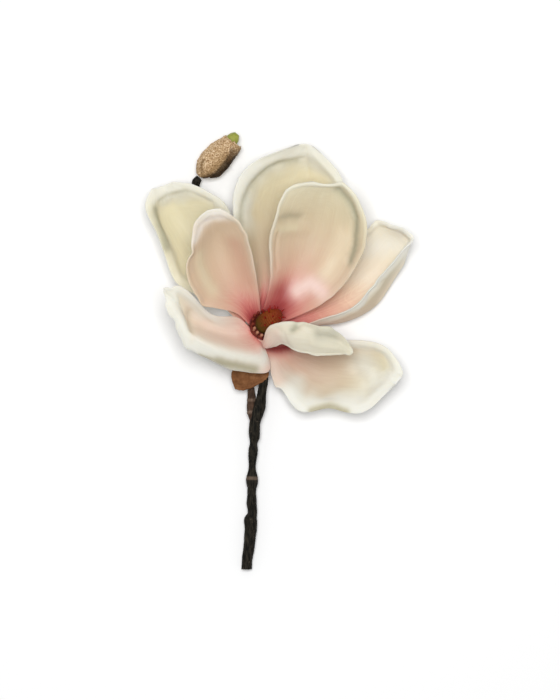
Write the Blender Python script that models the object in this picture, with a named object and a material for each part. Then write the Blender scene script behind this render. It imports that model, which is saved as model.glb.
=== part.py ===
"""Saucer magnolia branch: one open flower, one side twig with a bud, cut stem, lying on a flat surface.

Metres, +Z up. The surface is z = 0, the stem runs along Y with its cut end at -Y, and the flower opens
upwards (+Z), leaning a little towards +Y. All lengths below are millimetres measured from the heart of
the flower: x to the right, y away from the cut end, z above the surface.
"""

import math

import bpy
import numpy as np

MM = 0.001
HEART = np.array((-7.1, 16.6, 0.0))  # the flower's heart in the part's own frame

# ---- flower axis and receptacle -------------------------------------------------------------------
CUP_CENTRE = np.array((-3.0, -3.2, 13.6))  # centre of the ring that the petals grow from
CUP_AXIS = np.array((0.28, 0.42, 0.863))  # direction that the flower opens in
CUP_RADIUS = 6.6
# the receptacle at the head of the stem: angle, radius and height of each centre in the cup, and its radius
RECEPTACLE = (
    (270, 2.5, -4.6, 4.9), (0, 0, -2.0, CUP_RADIUS), (0, 0, 0.1, CUP_RADIUS), (0, 0, 1.2, 0.9 * CUP_RADIUS),
)
INNER_RING, OUTER_RING = 8.1, 10.4  # radii of the two rings of petal bases
OUTER_DROP = 1.6  # the outer ring sits this much lower on the receptacle

# ---- petals ---------------------------------------------------------------------------------------
PETAL_THICK = 1.3
PETAL_EDGE = 0.55  # thickness at the margin, as a share of PETAL_THICK
PETAL_BASE_WIDTH = 7.4
PETAL_CELLS = (14, 10)  # grid cells along and across a petal

# Each petal: ring, angle of its base round the axis in degrees, the places across it (-1 left margin,
# 1 right margin, seen from the base) of its guide curves, and rows of guide points from base to tip.
PETALS = {
    "petal_upper_back": (
        OUTER_RING, 92, (-1, 0, 1),
        (
            ((-8, 22, 12), (0, 24, 8), (10, 23, 9)),
            ((-13, 42, 18.5), (4, 45, 7), (23, 43, 11)),
            ((-19.5, 60, 24.5), (9, 64, 8), (37, 61, 16)),
            ((-18, 77, 27.5), (14, 80, 12), (43.5, 76, 20)),
            ((-8, 90, 28.5), (18, 92, 18), (38, 87, 23.5)),
            ((9, 96.8, 28), (20, 98, 24), (30, 95, 26)),
            ((18, 99.8, 27.5), (21.5, 100.3, 27), (25, 99.4, 27)),
        ),
    ),
    "petal_upper_front": (
        INNER_RING, 52, (-1, 0, 1),
        (
            ((0.5, 19, 21), (12, 16, 14), (23, 6, 18)),
            ((1, 33, 29), (20, 31, 16), (40, 16.5, 26)),
            ((1, 47, 36), (26, 45, 19), (55, 34, 35)),
            ((4, 59, 41), (30, 57, 24), (58.7, 47, 40)),
            ((8.5, 71, 43), (33, 68, 31), (56, 62, 42)),
            ((16, 78.6, 43), (34, 75, 38), (48.5, 74.5, 43)),
            ((26, 79, 42), (34, 77.4, 42), (42, 78.8, 43)),
        ),
    ),
    "petal_left_back": (
        OUTER_RING, 158, (-1, 0, 1),
        (
            ((-25, 8, 14), (-21, 15, 9), (-12, 20, 10)),
            ((-41, 16, 17), (-32, 30, 8), (-17, 40, 13)),
            ((-53, 25, 21), (-41, 43, 8), (-20, 54, 18)),
            ((-59, 42, 25), (-49, 55, 10), (-22.5, 64, 22)),
            ((-65, 56, 27), (-55, 65, 14), (-29, 70.6, 25)),
            ((-68.8, 67, 28), (-58, 72, 20), (-43, 77.8, 26)),
            ((-65, 75.4, 27), (-60, 77, 24), (-54, 79.2, 26)),
        ),
    ),
    "petal_left_front": (
        INNER_RING, 130, (-1, 0, 1),
        (
            ((-19, 5.4, 21), (-14, 12, 17), (-5, 16, 20)),
            ((-33, 8.8, 31), (-21, 22, 21), (-7, 27, 29)),
            ((-42, 17, 39), (-26, 33, 25), (-9, 39, 38)),
            ((-45.6, 31, 46), (-29, 43, 31), (-12, 48, 45)),
            ((-43, 44.5, 51), (-30.5, 52, 40), (-16.5, 56.5, 50)),
            ((-40.5, 56, 54), (-31, 58.5, 49), (-22.5, 60.8, 53)),
            ((-34, 62, 55), (-30.5, 62.8, 54), (-27, 63, 54.5)),
        ),
    ),
    "petal_right": (
        OUTER_RING, 8, (-1, -0.35, 0.4, 1),
        (
            ((16, 9, 8), (19, 4, 8), (20, -2, 9.5), (18, -3, 14)),
            ((27, 20, 7), (32, 11, 5.5), (35.5, -2.5, 7.5), (33, 2.8, 18)),
            ((38, 33, 9), (46, 19, 3), (51, 3.5, 5.5), (46, 7.4, 20)),
            ((48, 44, 12), (58, 28, 1.8), (64.5, 13, 4.8), (55.5, 15.5, 21.5)),
            ((56, 52, 16.5), (66, 36, 3.5), (72.5, 26, 7.5), (64.5, 27, 23)),
            ((63, 57.4, 21), (72, 43, 9), (77.6, 35, 12.5), (71, 34.5, 25)),
            ((69.5, 55.6, 25), (77, 48, 17), (80.5, 43, 19), (77, 41.5, 26.5)),
            ((77, 53, 27), (80.5, 50.5, 25.5), (82.6, 48, 25.5), (81.8, 45.6, 27.5)),
        ),
    ),
    "petal_lower_left": (
        INNER_RING, 217, (-1, -0.45, 0.25, 1),
        (
            ((1.2, -26.6, 19.5), (-5, -16.5, 22), (-12, -7, 17), (-17, 2.5, 19)),
            ((-8, -29, 24.5), (-14, -18, 29), (-20, -8, 20), (-25, 3, 25)),
            ((-22, -27, 29), (-25, -15.5, 35), (-29, -6, 24), (-34, 5.5, 33)),
            ((-34, -21, 34), (-36, -11.5, 40), (-38, -2, 29), (-41.5, 13.5, 41)),
            ((-46, -13.8, 39), (-45, -5, 42), (-46, 3, 36), (-48, 19, 46)),
            ((-53.4, -0.6, 44), (-51.5, 5, 44), (-51.5, 10, 42), (-54, 19.9, 48)),
            ((-57.6, 9, 47), (-57, 12.6, 46), (-57.4, 15.6, 46.5), (-58.6, 18.4, 48)),
        ),
    ),
    "petal_lower_right": (
        OUTER_RING, 290, (-1, 0, 1),
        (
            ((15, -9, 15), (8, -17, 13), (0, -22, 14.5)),
            ((29, -9, 17), (17, -23, 10), (3, -33, 16)),
            ((42, -10, 21), (28, -28, 9), (9.5, -40, 18)),
            ((54, -11, 25), (40, -31, 10), (18, -50.5, 19)),
            ((64, -13.4, 28), (50, -32, 13), (34, -49, 20)),
            ((71.5, -19.5, 29), (60, -33, 18), (52, -51.5, 23)),
            ((75.8, -26.5, 29), (68, -34, 23), (64, -43, 26)),
            ((76.2, -30.4, 28.5), (74, -32.6, 28), (72, -35.4, 28)),
        ),
    ),
    "petal_curled": (
        INNER_RING, 276, (-1, 0, 1),
        (
            ((5, -13, 24), (-1.5, -13.5, 25), (-4, -9, 23)),
            ((9, -12.4, 31), (3, -8, 34), (0, -3.5, 32)),
            ((15, -16, 35), (9, -7.5, 40), (6.5, -0.4, 38)),
            ((23, -17.9, 38), (19, -8, 44), (17, 0.2, 41)),
            ((33, -19, 39), (29, -9, 46), (27, -2.2, 42)),
            ((41, -18.6, 39), (38, -10.5, 45), (36, -4.2, 42)),
            ((45, -19, 39), (43.6, -14, 42.5), (43.2, -8.6, 40)),
            ((48, -18.8, 39), (47.6, -17.4, 39.6), (47, -16, 39)),
        ),
    ),
}

# ---- pistil cone with its curled styles, and the stamens round its foot ------------------------------
CONE_AXIS = np.array((0.57, 0.466, 0.673))  # the cone leans further over than the flower
CONE_LENGTH = 17.0
CONE_FOOT = 1.8  # height of the cone's foot on the receptacle
CONE_PROFILE = ((0.02, 4.6), (0.12, 5.6), (0.36, 5.8), (0.62, 5.2), (0.83, 3.9), (0.95, 2.4), (0.995, 1.2))
CONE_CELLS = (14, 12)  # sides and rings of the solid, as in the next two
STYLE_CELLS, STAMEN_CELLS = (6, 4), (8, 5)
STYLE_COUNT = 20
STYLE_SPAN = (0.42, 0.95)  # part of the cone that carries styles
STYLE_TURN = 137.5  # degrees from each style to the next
STYLE_LENGTH, STYLE_RADIUS = 3.4, 0.42
STYLE_GAP = 0.58  # from the cone's surface to the middle of a style's foot
STAMEN_COUNT = 16
STAMEN_RING = 6.8  # radius of the ring of stamen feet
STAMEN_LENGTH, STAMEN_RADIUS = 4.6, 0.6
STAMEN_LEAN = 24  # mean outward lean in degrees
STAMEN_LEAN_CHANGE = 16  # added on the side that the cone leans towards, taken off on the other
STAMEN_LEAN_SIDE = 15  # angle of that side round the flower's axis

# ---- branch: centre x, y, z and radius from the cut end upwards -------------------------------------
STEM = (
    (-12.3, -142.0, 2.98, 3.05), (-12.2, -138, 3.2, 3.0), (-11.2, -131, 3.65, 3.15), (-10.3, -123, 4.1, 3.4),
    (-10.0, -116.5, 4.4, 3.7), (-9.9, -113, 4.6, 3.6), (-9.3, -111, 4.7, 2.9), (-9.3, -105, 4.9, 2.7),
    (-9.3, -96, 5.2, 2.45), (-9.2, -92.3, 5.4, 3.3), (-9.2, -89.5, 5.5, 3.4), (-9.1, -86, 5.7, 2.4),
    (-8.9, -79, 6.2, 2.05), (-8.5, -72.4, 6.7, 2.55), (-8.3, -69.6, 6.9, 2.1), (-7.9, -66.6, 7.2, 2.9),
    (-7.6, -58, 7.8, 3.1), (-5.4, -50, 8.4, 3.6), (-3.7, -42, 8.9, 2.6), (-2.8, -33, 9.4, 2.85), (-2.6, -23, 9.7, 3.0),
    (-2.3, -15, 10.2, 3.5),
)
STEM_SIDES, STEM_RINGS = 12, 54
TWIG = (
    (-7.4, -62.0, 6.8, 1.7), (-8.7, -55, 6.9, 2.2), (-9.6, -50.8, 6.8, 2.5), (-9.5, -46.5, 6.6, 2.6),
    (-9.8, -39, 5.6, 2.05), (-12.0, -24, 3.4, 1.9), (-18.2, 4, 2.0, 1.8), (-29.5, 41, 2.0, 1.8),
    (-37.6, 66, 3.2, 1.8), (-41.2, 77.4, 5.0, 1.9), (-41.4, 80.2, 6.0, 2.5), (-39.6, 82.6, 6.9, 2.0),
)
TWIG_SIDES, TWIG_RINGS = 10, 32

# ---- bud at the end of the twig ---------------------------------------------------------------------
BUD_FOOT = np.array((-38.6, 83.8, 7.7))
BUD_TIP = np.array((-17.7, 107.9, 9.7))
BUD_TIP_STATIONS = ((0.16, 0.7), (0.24, 2.2), (0.4, 3.6), (0.62, 3.8), (0.82, 3.6), (0.93, 3.1), (1.0, 1.5))
# Stations of the scales: place along the bud, radius, and the angles round the bud that the scale covers.
# 0 degrees is the bud's right-hand side, 90 is up.
BUD_OUTER_STATIONS = (
    (0.0, 2.6, 42, 318), (0.1, 5.7, 42, 318), (0.22, 7.3, 42, 318), (0.4, 7.7, 42, 318),
    (0.56, 7.1, 42, 318), (0.7, 5.7, 44, 316), (0.79, 4.7, 46, 314), (0.84, 4.4, 48, 312),
)
BUD_INNER_STATIONS = (
    (0.1, 4.4, -32, 32), (0.2, 7.2, -34, 34), (0.32, 8.2, -34, 34), (0.46, 8.3, -33, 33),
    (0.6, 7.6, -30, 30), (0.68, 7.5, -28, 42), (0.77, 7.2, -22, 56), (0.86, 6.6, -14, 62),
)
BUD_SCALE_THICK = 0.9
BUD_SCALE_EDGE = 0.7  # thickness at the margin, as a share of BUD_SCALE_THICK
BUD_SCALE_CELLS, BUD_TIP_CELLS = (9, 16), (14, 12)

# ---- papery bract under the flower --------------------------------------------------------------------
BRACT = (
    ((-0.6, -24.0, 13.9), (0.2, -27.4, 13.7), (0.6, -30.6, 13.6)),
    ((-10.0, -22.5, 15.0), (-7.6, -30, 14.2), (-3.2, -34.4, 13.2)),
    ((-15.5, -24.0, 15.0), (-12.0, -33, 13.2), (-8.2, -37.2, 12.2)),
    ((-20.0, -27.0, 14.0), (-17.0, -34.4, 11.8), (-14.4, -39.3, 11.0)),
    ((-21.2, -31.0, 12.4), (-20.2, -35, 11.0), (-18.8, -38.8, 10.4)),
)
BRACT_THICK = 0.8
BRACT_EDGE = 0.6  # thickness at the margin, as a share of BRACT_THICK
BRACT_CELLS = (7, 6)


# ---- linear colour and roughness of each finish ---------------------------------------------------------
FINISHES = {
    "petal": ((0.78, 0.66, 0.50), 0.55),
    "pistil": ((0.13, 0.07, 0.02), 0.6),
    "style": ((0.20, 0.02, 0.02), 0.5),
    "stamen": ((0.55, 0.27, 0.17), 0.55),
    "bark": ((0.045, 0.034, 0.024), 0.7),
    "bud_green": ((0.30, 0.33, 0.07), 0.5),
    "bud_scale": ((0.42, 0.27, 0.13), 0.75),
    "bract": ((0.21, 0.10, 0.04), 0.7),
}


def clear_scene():
    for obj in list(bpy.data.objects):
        bpy.data.objects.remove(obj, do_unlink=True)


def material(name):
    """A plain Principled material for one of the finishes."""
    colour, roughness = FINISHES[name]
    mat = bpy.data.materials.new(name)
    mat.use_nodes = True
    surface = mat.node_tree.nodes["Principled BSDF"]
    surface.inputs["Base Color"].default_value = (*colour, 1)
    surface.inputs["Roughness"].default_value = roughness
    mat.diffuse_color = (*colour, 1)
    return mat


def add_solid(name, points, faces, mat):
    """A smooth-shaded mesh object from points in millimetres measured from the heart."""
    mesh = bpy.data.meshes.new(name)
    mesh.from_pydata([tuple(p) for p in (np.asarray(points) + HEART) * MM], [], faces)
    mesh.polygons.foreach_set("use_smooth", [True] * len(mesh.polygons))
    mesh.materials.append(mat)
    mesh.validate()
    obj = bpy.data.objects.new(name, mesh)
    bpy.context.scene.collection.objects.link(obj)
    return obj


def spline(knots, values, at):
    """Natural cubic spline through values (one row for each knot), read at the places `at`."""
    knots, values, at = (np.asarray(a, float) for a in (knots, values, at))
    gap = np.diff(knots)
    slope = np.diff(values, axis=0) / gap[:, None]
    system = np.eye(len(knots))
    bend = np.zeros_like(values)
    for i in range(1, len(knots) - 1):
        system[i, i - 1 : i + 2] = gap[i - 1], 2 * (gap[i - 1] + gap[i]), gap[i]
        bend[i] = 6 * (slope[i] - slope[i - 1])
    bend = np.linalg.solve(system, bend)
    i = np.clip(np.searchsorted(knots, at) - 1, 0, len(gap) - 1)
    t, h = (at - knots[i])[:, None], gap[i][:, None]
    start = slope[i] - h * (2 * bend[i] + bend[i + 1]) / 6
    return values[i] + t * (start + t * (bend[i] / 2 + t * (bend[i + 1] - bend[i]) / (6 * h)))


def unit(vectors):
    return vectors / np.linalg.norm(vectors, axis=-1, keepdims=True)


def lofted(rows, across, cells):
    """Grid of points on the surface through rows of guide points."""
    rows = np.array(rows, float)
    steps = np.linalg.norm(np.diff(rows, axis=0), axis=2).mean(axis=1)
    along = np.concatenate([[0], np.cumsum(steps)])
    u = np.linspace(0, along[-1], cells[0] + 1)
    guides = spline(along, rows.reshape(len(rows), -1), u).reshape(len(u), len(across), 3)
    v = np.linspace(-1, 1, cells[1] + 1)
    crossed = spline(across, guides.swapaxes(0, 1).reshape(len(across), -1), v)
    return crossed.reshape(len(v), len(u), 3).swapaxes(0, 1)


def sheet_solid(name, grid, thick, edge, mat):
    """A closed sheet round a grid of points, thinner at its margins; its first side is the inner face."""
    normal = unit(np.cross(np.gradient(grid, axis=1), np.gradient(grid, axis=0)))
    rows, cols = grid.shape[:2]
    v = np.linspace(-1, 1, cols)[None, :]
    u = np.linspace(0, 1, rows)[:, None]
    full = np.sqrt(np.clip(1 - v**6, 0, 1)) * np.sqrt(np.clip(1 - u**10, 0, 1))
    half = normal * (thick / 2 * (edge + (1 - edge) * full))[..., None]
    points = np.concatenate([(grid + half).reshape(-1, 3), (grid - half).reshape(-1, 3)])
    back = rows * cols
    faces = []
    for r in range(rows - 1):
        for c in range(cols - 1):
            a, b = r * cols + c, (r + 1) * cols + c
            faces.append((a, a + 1, b + 1, b))
            faces.append((back + a, back + b, back + b + 1, back + a + 1))
    rim = list(range(cols))
    rim += [r * cols + cols - 1 for r in range(1, rows)]
    rim += [(rows - 1) * cols + c for c in range(cols - 2, -1, -1)]
    rim += [r * cols for r in range(rows - 2, 0, -1)]
    for a, b in zip(rim, rim[1:] + rim[:1]):
        faces.append((b, a, back + a, back + b))
    return add_solid(name, points, faces, mat)


def tube_solid(name, stations, sides, rings, mat):
    """A round tube with capped ends along stations of centre and radius."""
    stations = np.array(stations, float)
    along = np.concatenate([[0], np.cumsum(np.linalg.norm(np.diff(stations[:, :3], axis=0), axis=1))])
    path = spline(along, stations, np.linspace(0, along[-1], rings))
    centre, radius = path[:, :3], path[:, 3]
    heading = unit(np.gradient(centre, axis=0))
    side = unit(np.cross(heading[0], (0.3, 0.1, 1.0)))
    points = []
    for c, r, h in zip(centre, radius, heading):
        side = unit(side - h * (side @ h))
        up = np.cross(h, side)
        for k in range(sides):
            turn = 2 * math.pi * k / sides
            points.append(c + r * (math.cos(turn) * side + math.sin(turn) * up))
    faces = [tuple(range(sides - 1, -1, -1)), tuple((rings - 1) * sides + k for k in range(sides))]
    for r in range(rings - 1):
        for k in range(sides):
            a, b = r * sides + k, r * sides + (k + 1) % sides
            faces.append((a, b, b + sides, a + sides))
    return add_solid(name, points, faces, mat)


def cup_frame():
    """Unit vectors to the right, away from the stem, and along the flower's axis."""
    axis = unit(CUP_AXIS)
    right = unit(np.array((1, 0, -axis[0] / axis[2])))
    return right, np.cross(axis, right), axis


def cup_point(angle, radius, height):
    """A point round the flower's axis: angle in degrees, anticlockwise from the right."""
    right, away, axis = cup_frame()
    turn = math.radians(angle)
    return CUP_CENTRE + radius * (math.cos(turn) * right + math.sin(turn) * away) + height * axis


def petal_rows(ring, angle, across, rows):
    """The guide rows of a petal, with its base row on the receptacle put first."""
    height = 0 if ring == INNER_RING else -OUTER_DROP
    spread = math.degrees(PETAL_BASE_WIDTH / 2 / ring)
    base = tuple(cup_point(angle - v * spread, ring, height) for v in across)
    return (base, *rows)


def add_petals():
    mat = material("petal")
    for name, (ring, angle, across, rows) in PETALS.items():
        grid = lofted(petal_rows(ring, angle, across, rows), across, PETAL_CELLS)
        sheet_solid(name, grid, PETAL_THICK, PETAL_EDGE, mat)


def cone_point(h):
    """A point on the pistil cone's curved centre line, h from 0 at the foot to 1 at the tip."""
    foot = cup_point(0, 0, CONE_FOOT)
    bend = cup_point(0, 0, CONE_FOOT + 0.4 * CONE_LENGTH)
    tip = foot + CONE_LENGTH * unit(CONE_AXIS)
    return foot * (1 - h) ** 2 + bend * 2 * h * (1 - h) + tip * h**2


def add_styles(mat):
    """Curled styles in a spiral over the upper part of the cone."""
    places, radii = zip(*CONE_PROFILE)
    for k in range(STYLE_COUNT):
        h = STYLE_SPAN[0] + (STYLE_SPAN[1] - STYLE_SPAN[0]) * (k + 0.5) / STYLE_COUNT
        heading = unit(cone_point(h + 0.02) - cone_point(h - 0.02))
        side = unit(np.cross(heading, (0, 0, 1)))
        turn = math.radians(STYLE_TURN * k)
        out = math.cos(turn) * side + math.sin(turn) * np.cross(heading, side)
        foot = cone_point(h) + out * (np.interp(h, places, radii) + STYLE_GAP)
        stations = [
            (*(foot + STYLE_LENGTH * (t * 0.75 * out + t * (1.1 - 0.6 * t) * heading)), r * STYLE_RADIUS)
            for t, r in ((0.0, 0.9), (0.35, 1.0), (0.7, 0.8), (1.0, 0.35))
        ]
        tube_solid(f"style_{k + 1:02d}", stations, *STYLE_CELLS, mat)


def add_stamens(mat):
    """Short blunt stamens in a ring round the foot of the cone."""
    for k in range(STAMEN_COUNT):
        angle = 360 * k / STAMEN_COUNT
        side = math.cos(math.radians(angle - STAMEN_LEAN_SIDE))
        lean = math.radians(STAMEN_LEAN + STAMEN_LEAN_CHANGE * side)
        stations = []
        for t, thick in ((0.0, 0.75), (0.3, 0.95), (0.75, 1.0), (1.0, 0.55)):
            out = STAMEN_RING + STAMEN_LENGTH * t * math.sin(lean)
            rise = CONE_FOOT + STAMEN_LENGTH * t * math.cos(lean)
            stations.append((*cup_point(angle, out, rise), thick * STAMEN_RADIUS))
        tube_solid(f"stamen_{k + 1:02d}", stations, *STAMEN_CELLS, mat)


def add_heart():
    cone = [(*cone_point(h), r) for h, r in CONE_PROFILE]
    tube_solid("pistil_cone", cone, *CONE_CELLS, material("pistil"))
    add_styles(material("style"))
    add_stamens(material("stamen"))


def add_branch():
    """Main stem, swelling into the receptacle, with the side twig grown together with it."""
    mat = material("bark")
    head = [(*cup_point(angle, out, height), radius) for angle, out, height, radius in RECEPTACLE]
    branch = tube_solid("branch", (*STEM, *head), STEM_SIDES, STEM_RINGS, mat)
    twig = tube_solid("twig_helper", TWIG, TWIG_SIDES, TWIG_RINGS, mat)
    twig.hide_render = True
    twig.display_type = "WIRE"
    union = branch.modifiers.new("grow_twig", "BOOLEAN")
    union.operation = "UNION"
    union.solver = "EXACT"
    union.object = twig


def bud_frame():
    """Unit vectors along the bud, to its right in plan, and upwards from it."""
    axis = unit(BUD_TIP - BUD_FOOT)
    right = unit(np.cross(axis, (0, 0, 1)))
    return axis, right, np.cross(right, axis)


def add_bud_scale(name, stations, mat):
    axis, right, up = bud_frame()
    rows = []
    for at, radius, first, last in stations:
        turns = np.radians(np.linspace(last, first, 7))[:, None]
        rays = np.cos(turns) * right + np.sin(turns) * up
        rows.append(BUD_FOOT + at * (BUD_TIP - BUD_FOOT) + radius * rays)
    grid = lofted(rows, np.linspace(-1, 1, 7), BUD_SCALE_CELLS)
    sheet_solid(name, grid, BUD_SCALE_THICK, BUD_SCALE_EDGE, mat)


def add_bud():
    tip = [(*(BUD_FOOT + at * (BUD_TIP - BUD_FOOT)), radius) for at, radius in BUD_TIP_STATIONS]
    tube_solid("bud_tip", tip, *BUD_TIP_CELLS, material("bud_green"))
    mat = material("bud_scale")
    add_bud_scale("bud_scale_outer", BUD_OUTER_STATIONS, mat)
    add_bud_scale("bud_scale_inner", BUD_INNER_STATIONS, mat)


def add_bract():
    grid = lofted(BRACT, (-1, 0, 1), BRACT_CELLS)
    sheet_solid("flower_bract", grid, BRACT_THICK, BRACT_EDGE, material("bract"))


def build():
    clear_scene()
    add_branch()
    add_petals()
    add_heart()
    add_bud()
    add_bract()


build()
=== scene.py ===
"""Looks of a saucer magnolia branch, built round its frame: petals, heart, bark, bud and bract.

Lengths in the tables below are millimetres measured from the heart of the flower: x to the right,
y away from the cut end of the stem, z above the surface that the branch lies on.
"""

import math

import bpy
import numpy as np
from bpy.props import FloatProperty, FloatVectorProperty, PointerProperty
from bpy.types import Operator, Panel, PropertyGroup
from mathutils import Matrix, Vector, noise


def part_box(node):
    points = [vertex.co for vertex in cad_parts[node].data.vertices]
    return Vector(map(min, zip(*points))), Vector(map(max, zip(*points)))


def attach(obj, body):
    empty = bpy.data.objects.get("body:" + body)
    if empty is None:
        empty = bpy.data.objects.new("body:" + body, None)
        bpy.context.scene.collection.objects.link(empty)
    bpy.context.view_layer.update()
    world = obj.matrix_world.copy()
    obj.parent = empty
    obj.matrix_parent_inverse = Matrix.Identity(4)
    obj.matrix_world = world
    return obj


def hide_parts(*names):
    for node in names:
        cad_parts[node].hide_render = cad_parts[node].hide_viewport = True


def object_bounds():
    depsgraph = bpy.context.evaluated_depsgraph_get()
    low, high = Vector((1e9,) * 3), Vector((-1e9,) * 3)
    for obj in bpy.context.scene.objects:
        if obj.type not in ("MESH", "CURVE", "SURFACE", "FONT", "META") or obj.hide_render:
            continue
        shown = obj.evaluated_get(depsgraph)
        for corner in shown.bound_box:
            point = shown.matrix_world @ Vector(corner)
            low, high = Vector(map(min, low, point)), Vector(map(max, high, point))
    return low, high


bl_info = {
    "name": "Saucer Magnolia Branch",
    "version": (1, 0, 0),
    "blender": (4, 5, 0),
    "location": "3D View > Sidebar > Magnolia",
    "description": "Petals, heart, bark, bud and bract of a saucer magnolia branch on its frame",
    "category": "Add Mesh",
}

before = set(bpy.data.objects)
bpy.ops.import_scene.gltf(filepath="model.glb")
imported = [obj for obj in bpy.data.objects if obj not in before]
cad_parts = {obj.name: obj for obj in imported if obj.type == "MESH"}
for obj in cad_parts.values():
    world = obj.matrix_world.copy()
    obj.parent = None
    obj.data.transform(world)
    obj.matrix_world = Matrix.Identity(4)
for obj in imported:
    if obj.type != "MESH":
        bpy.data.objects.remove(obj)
CAD_LOW, CAD_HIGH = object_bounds()
MM = 0.001
CAMERA_AIM = (-0.26 * MM, 0.64 * MM)  # the camera's place in plan, from the middle of the frame's box
PICTURE_PLANE = 22 * MM  # the height above the table at which the camera's picture_height is measured
TABLE_REACH = 4.0  # metres from the table's middle to its sides
LAMP_SIZE, LAMP_PLACE = 0.8, (-0.05, 0.2, 2.05)  # metres
CONE_MIDDLE = (0.489, 0.26)  # the middle of the pistil cone's box, in plan, from the heart


def heart_place():
    """The flower's heart in the frame, in millimetres, from the box of the pistil cone."""
    low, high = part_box("pistil_cone")
    middle = (low + high) / 2 / MM
    return np.array((middle.x - CONE_MIDDLE[0], middle.y - CONE_MIDDLE[1], 0.0))


HEART = heart_place()

# ---- flower axis and receptacle ----
CUP_CENTRE = np.array((-3.0, -3.2, 13.6))  # centre of the ring that the petals grow from
CUP_AXIS = np.array((0.28, 0.42, 0.863))  # direction that the flower opens in
INNER_RING, OUTER_RING = 8.1, 10.4
OUTER_DROP = 1.6
PETAL_BASE_WIDTH = 11.0
# the receptacle at the head of the stem: angle, radius and height of each centre in the cup, and its radius
RECEPTACLE = ((270, 2.5, -4.6, 5.2), (0, 0, -2.2, 8.4), (0, 0, -0.6, 8.3), (0, 0, 0.9, 7.4))

# Linear colours of the petal tissue, from the heart outwards. The grey-green after BLUSH is no tissue colour
# but painted shade, laid in folds and grooves and on outer faces turned from the light.
DEEP, ROSE, PINK = (0.32, 0.025, 0.03), (0.58, 0.13, 0.12), (0.70, 0.34, 0.28)
SALMON, PEACH, BEIGE = (0.68, 0.47, 0.35), (0.68, 0.54, 0.40), (0.66, 0.57, 0.40)
CREAM, IVORY, WHITE = (0.75, 0.69, 0.50), (0.78, 0.74, 0.58), (0.81, 0.80, 0.72)
BLUSH, PAINTED_SHADE = (0.76, 0.60, 0.51), (0.38, 0.38, 0.28)

PALE_BACK = ((0, PEACH), (0.3, BEIGE), (0.8, IVORY))
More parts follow.
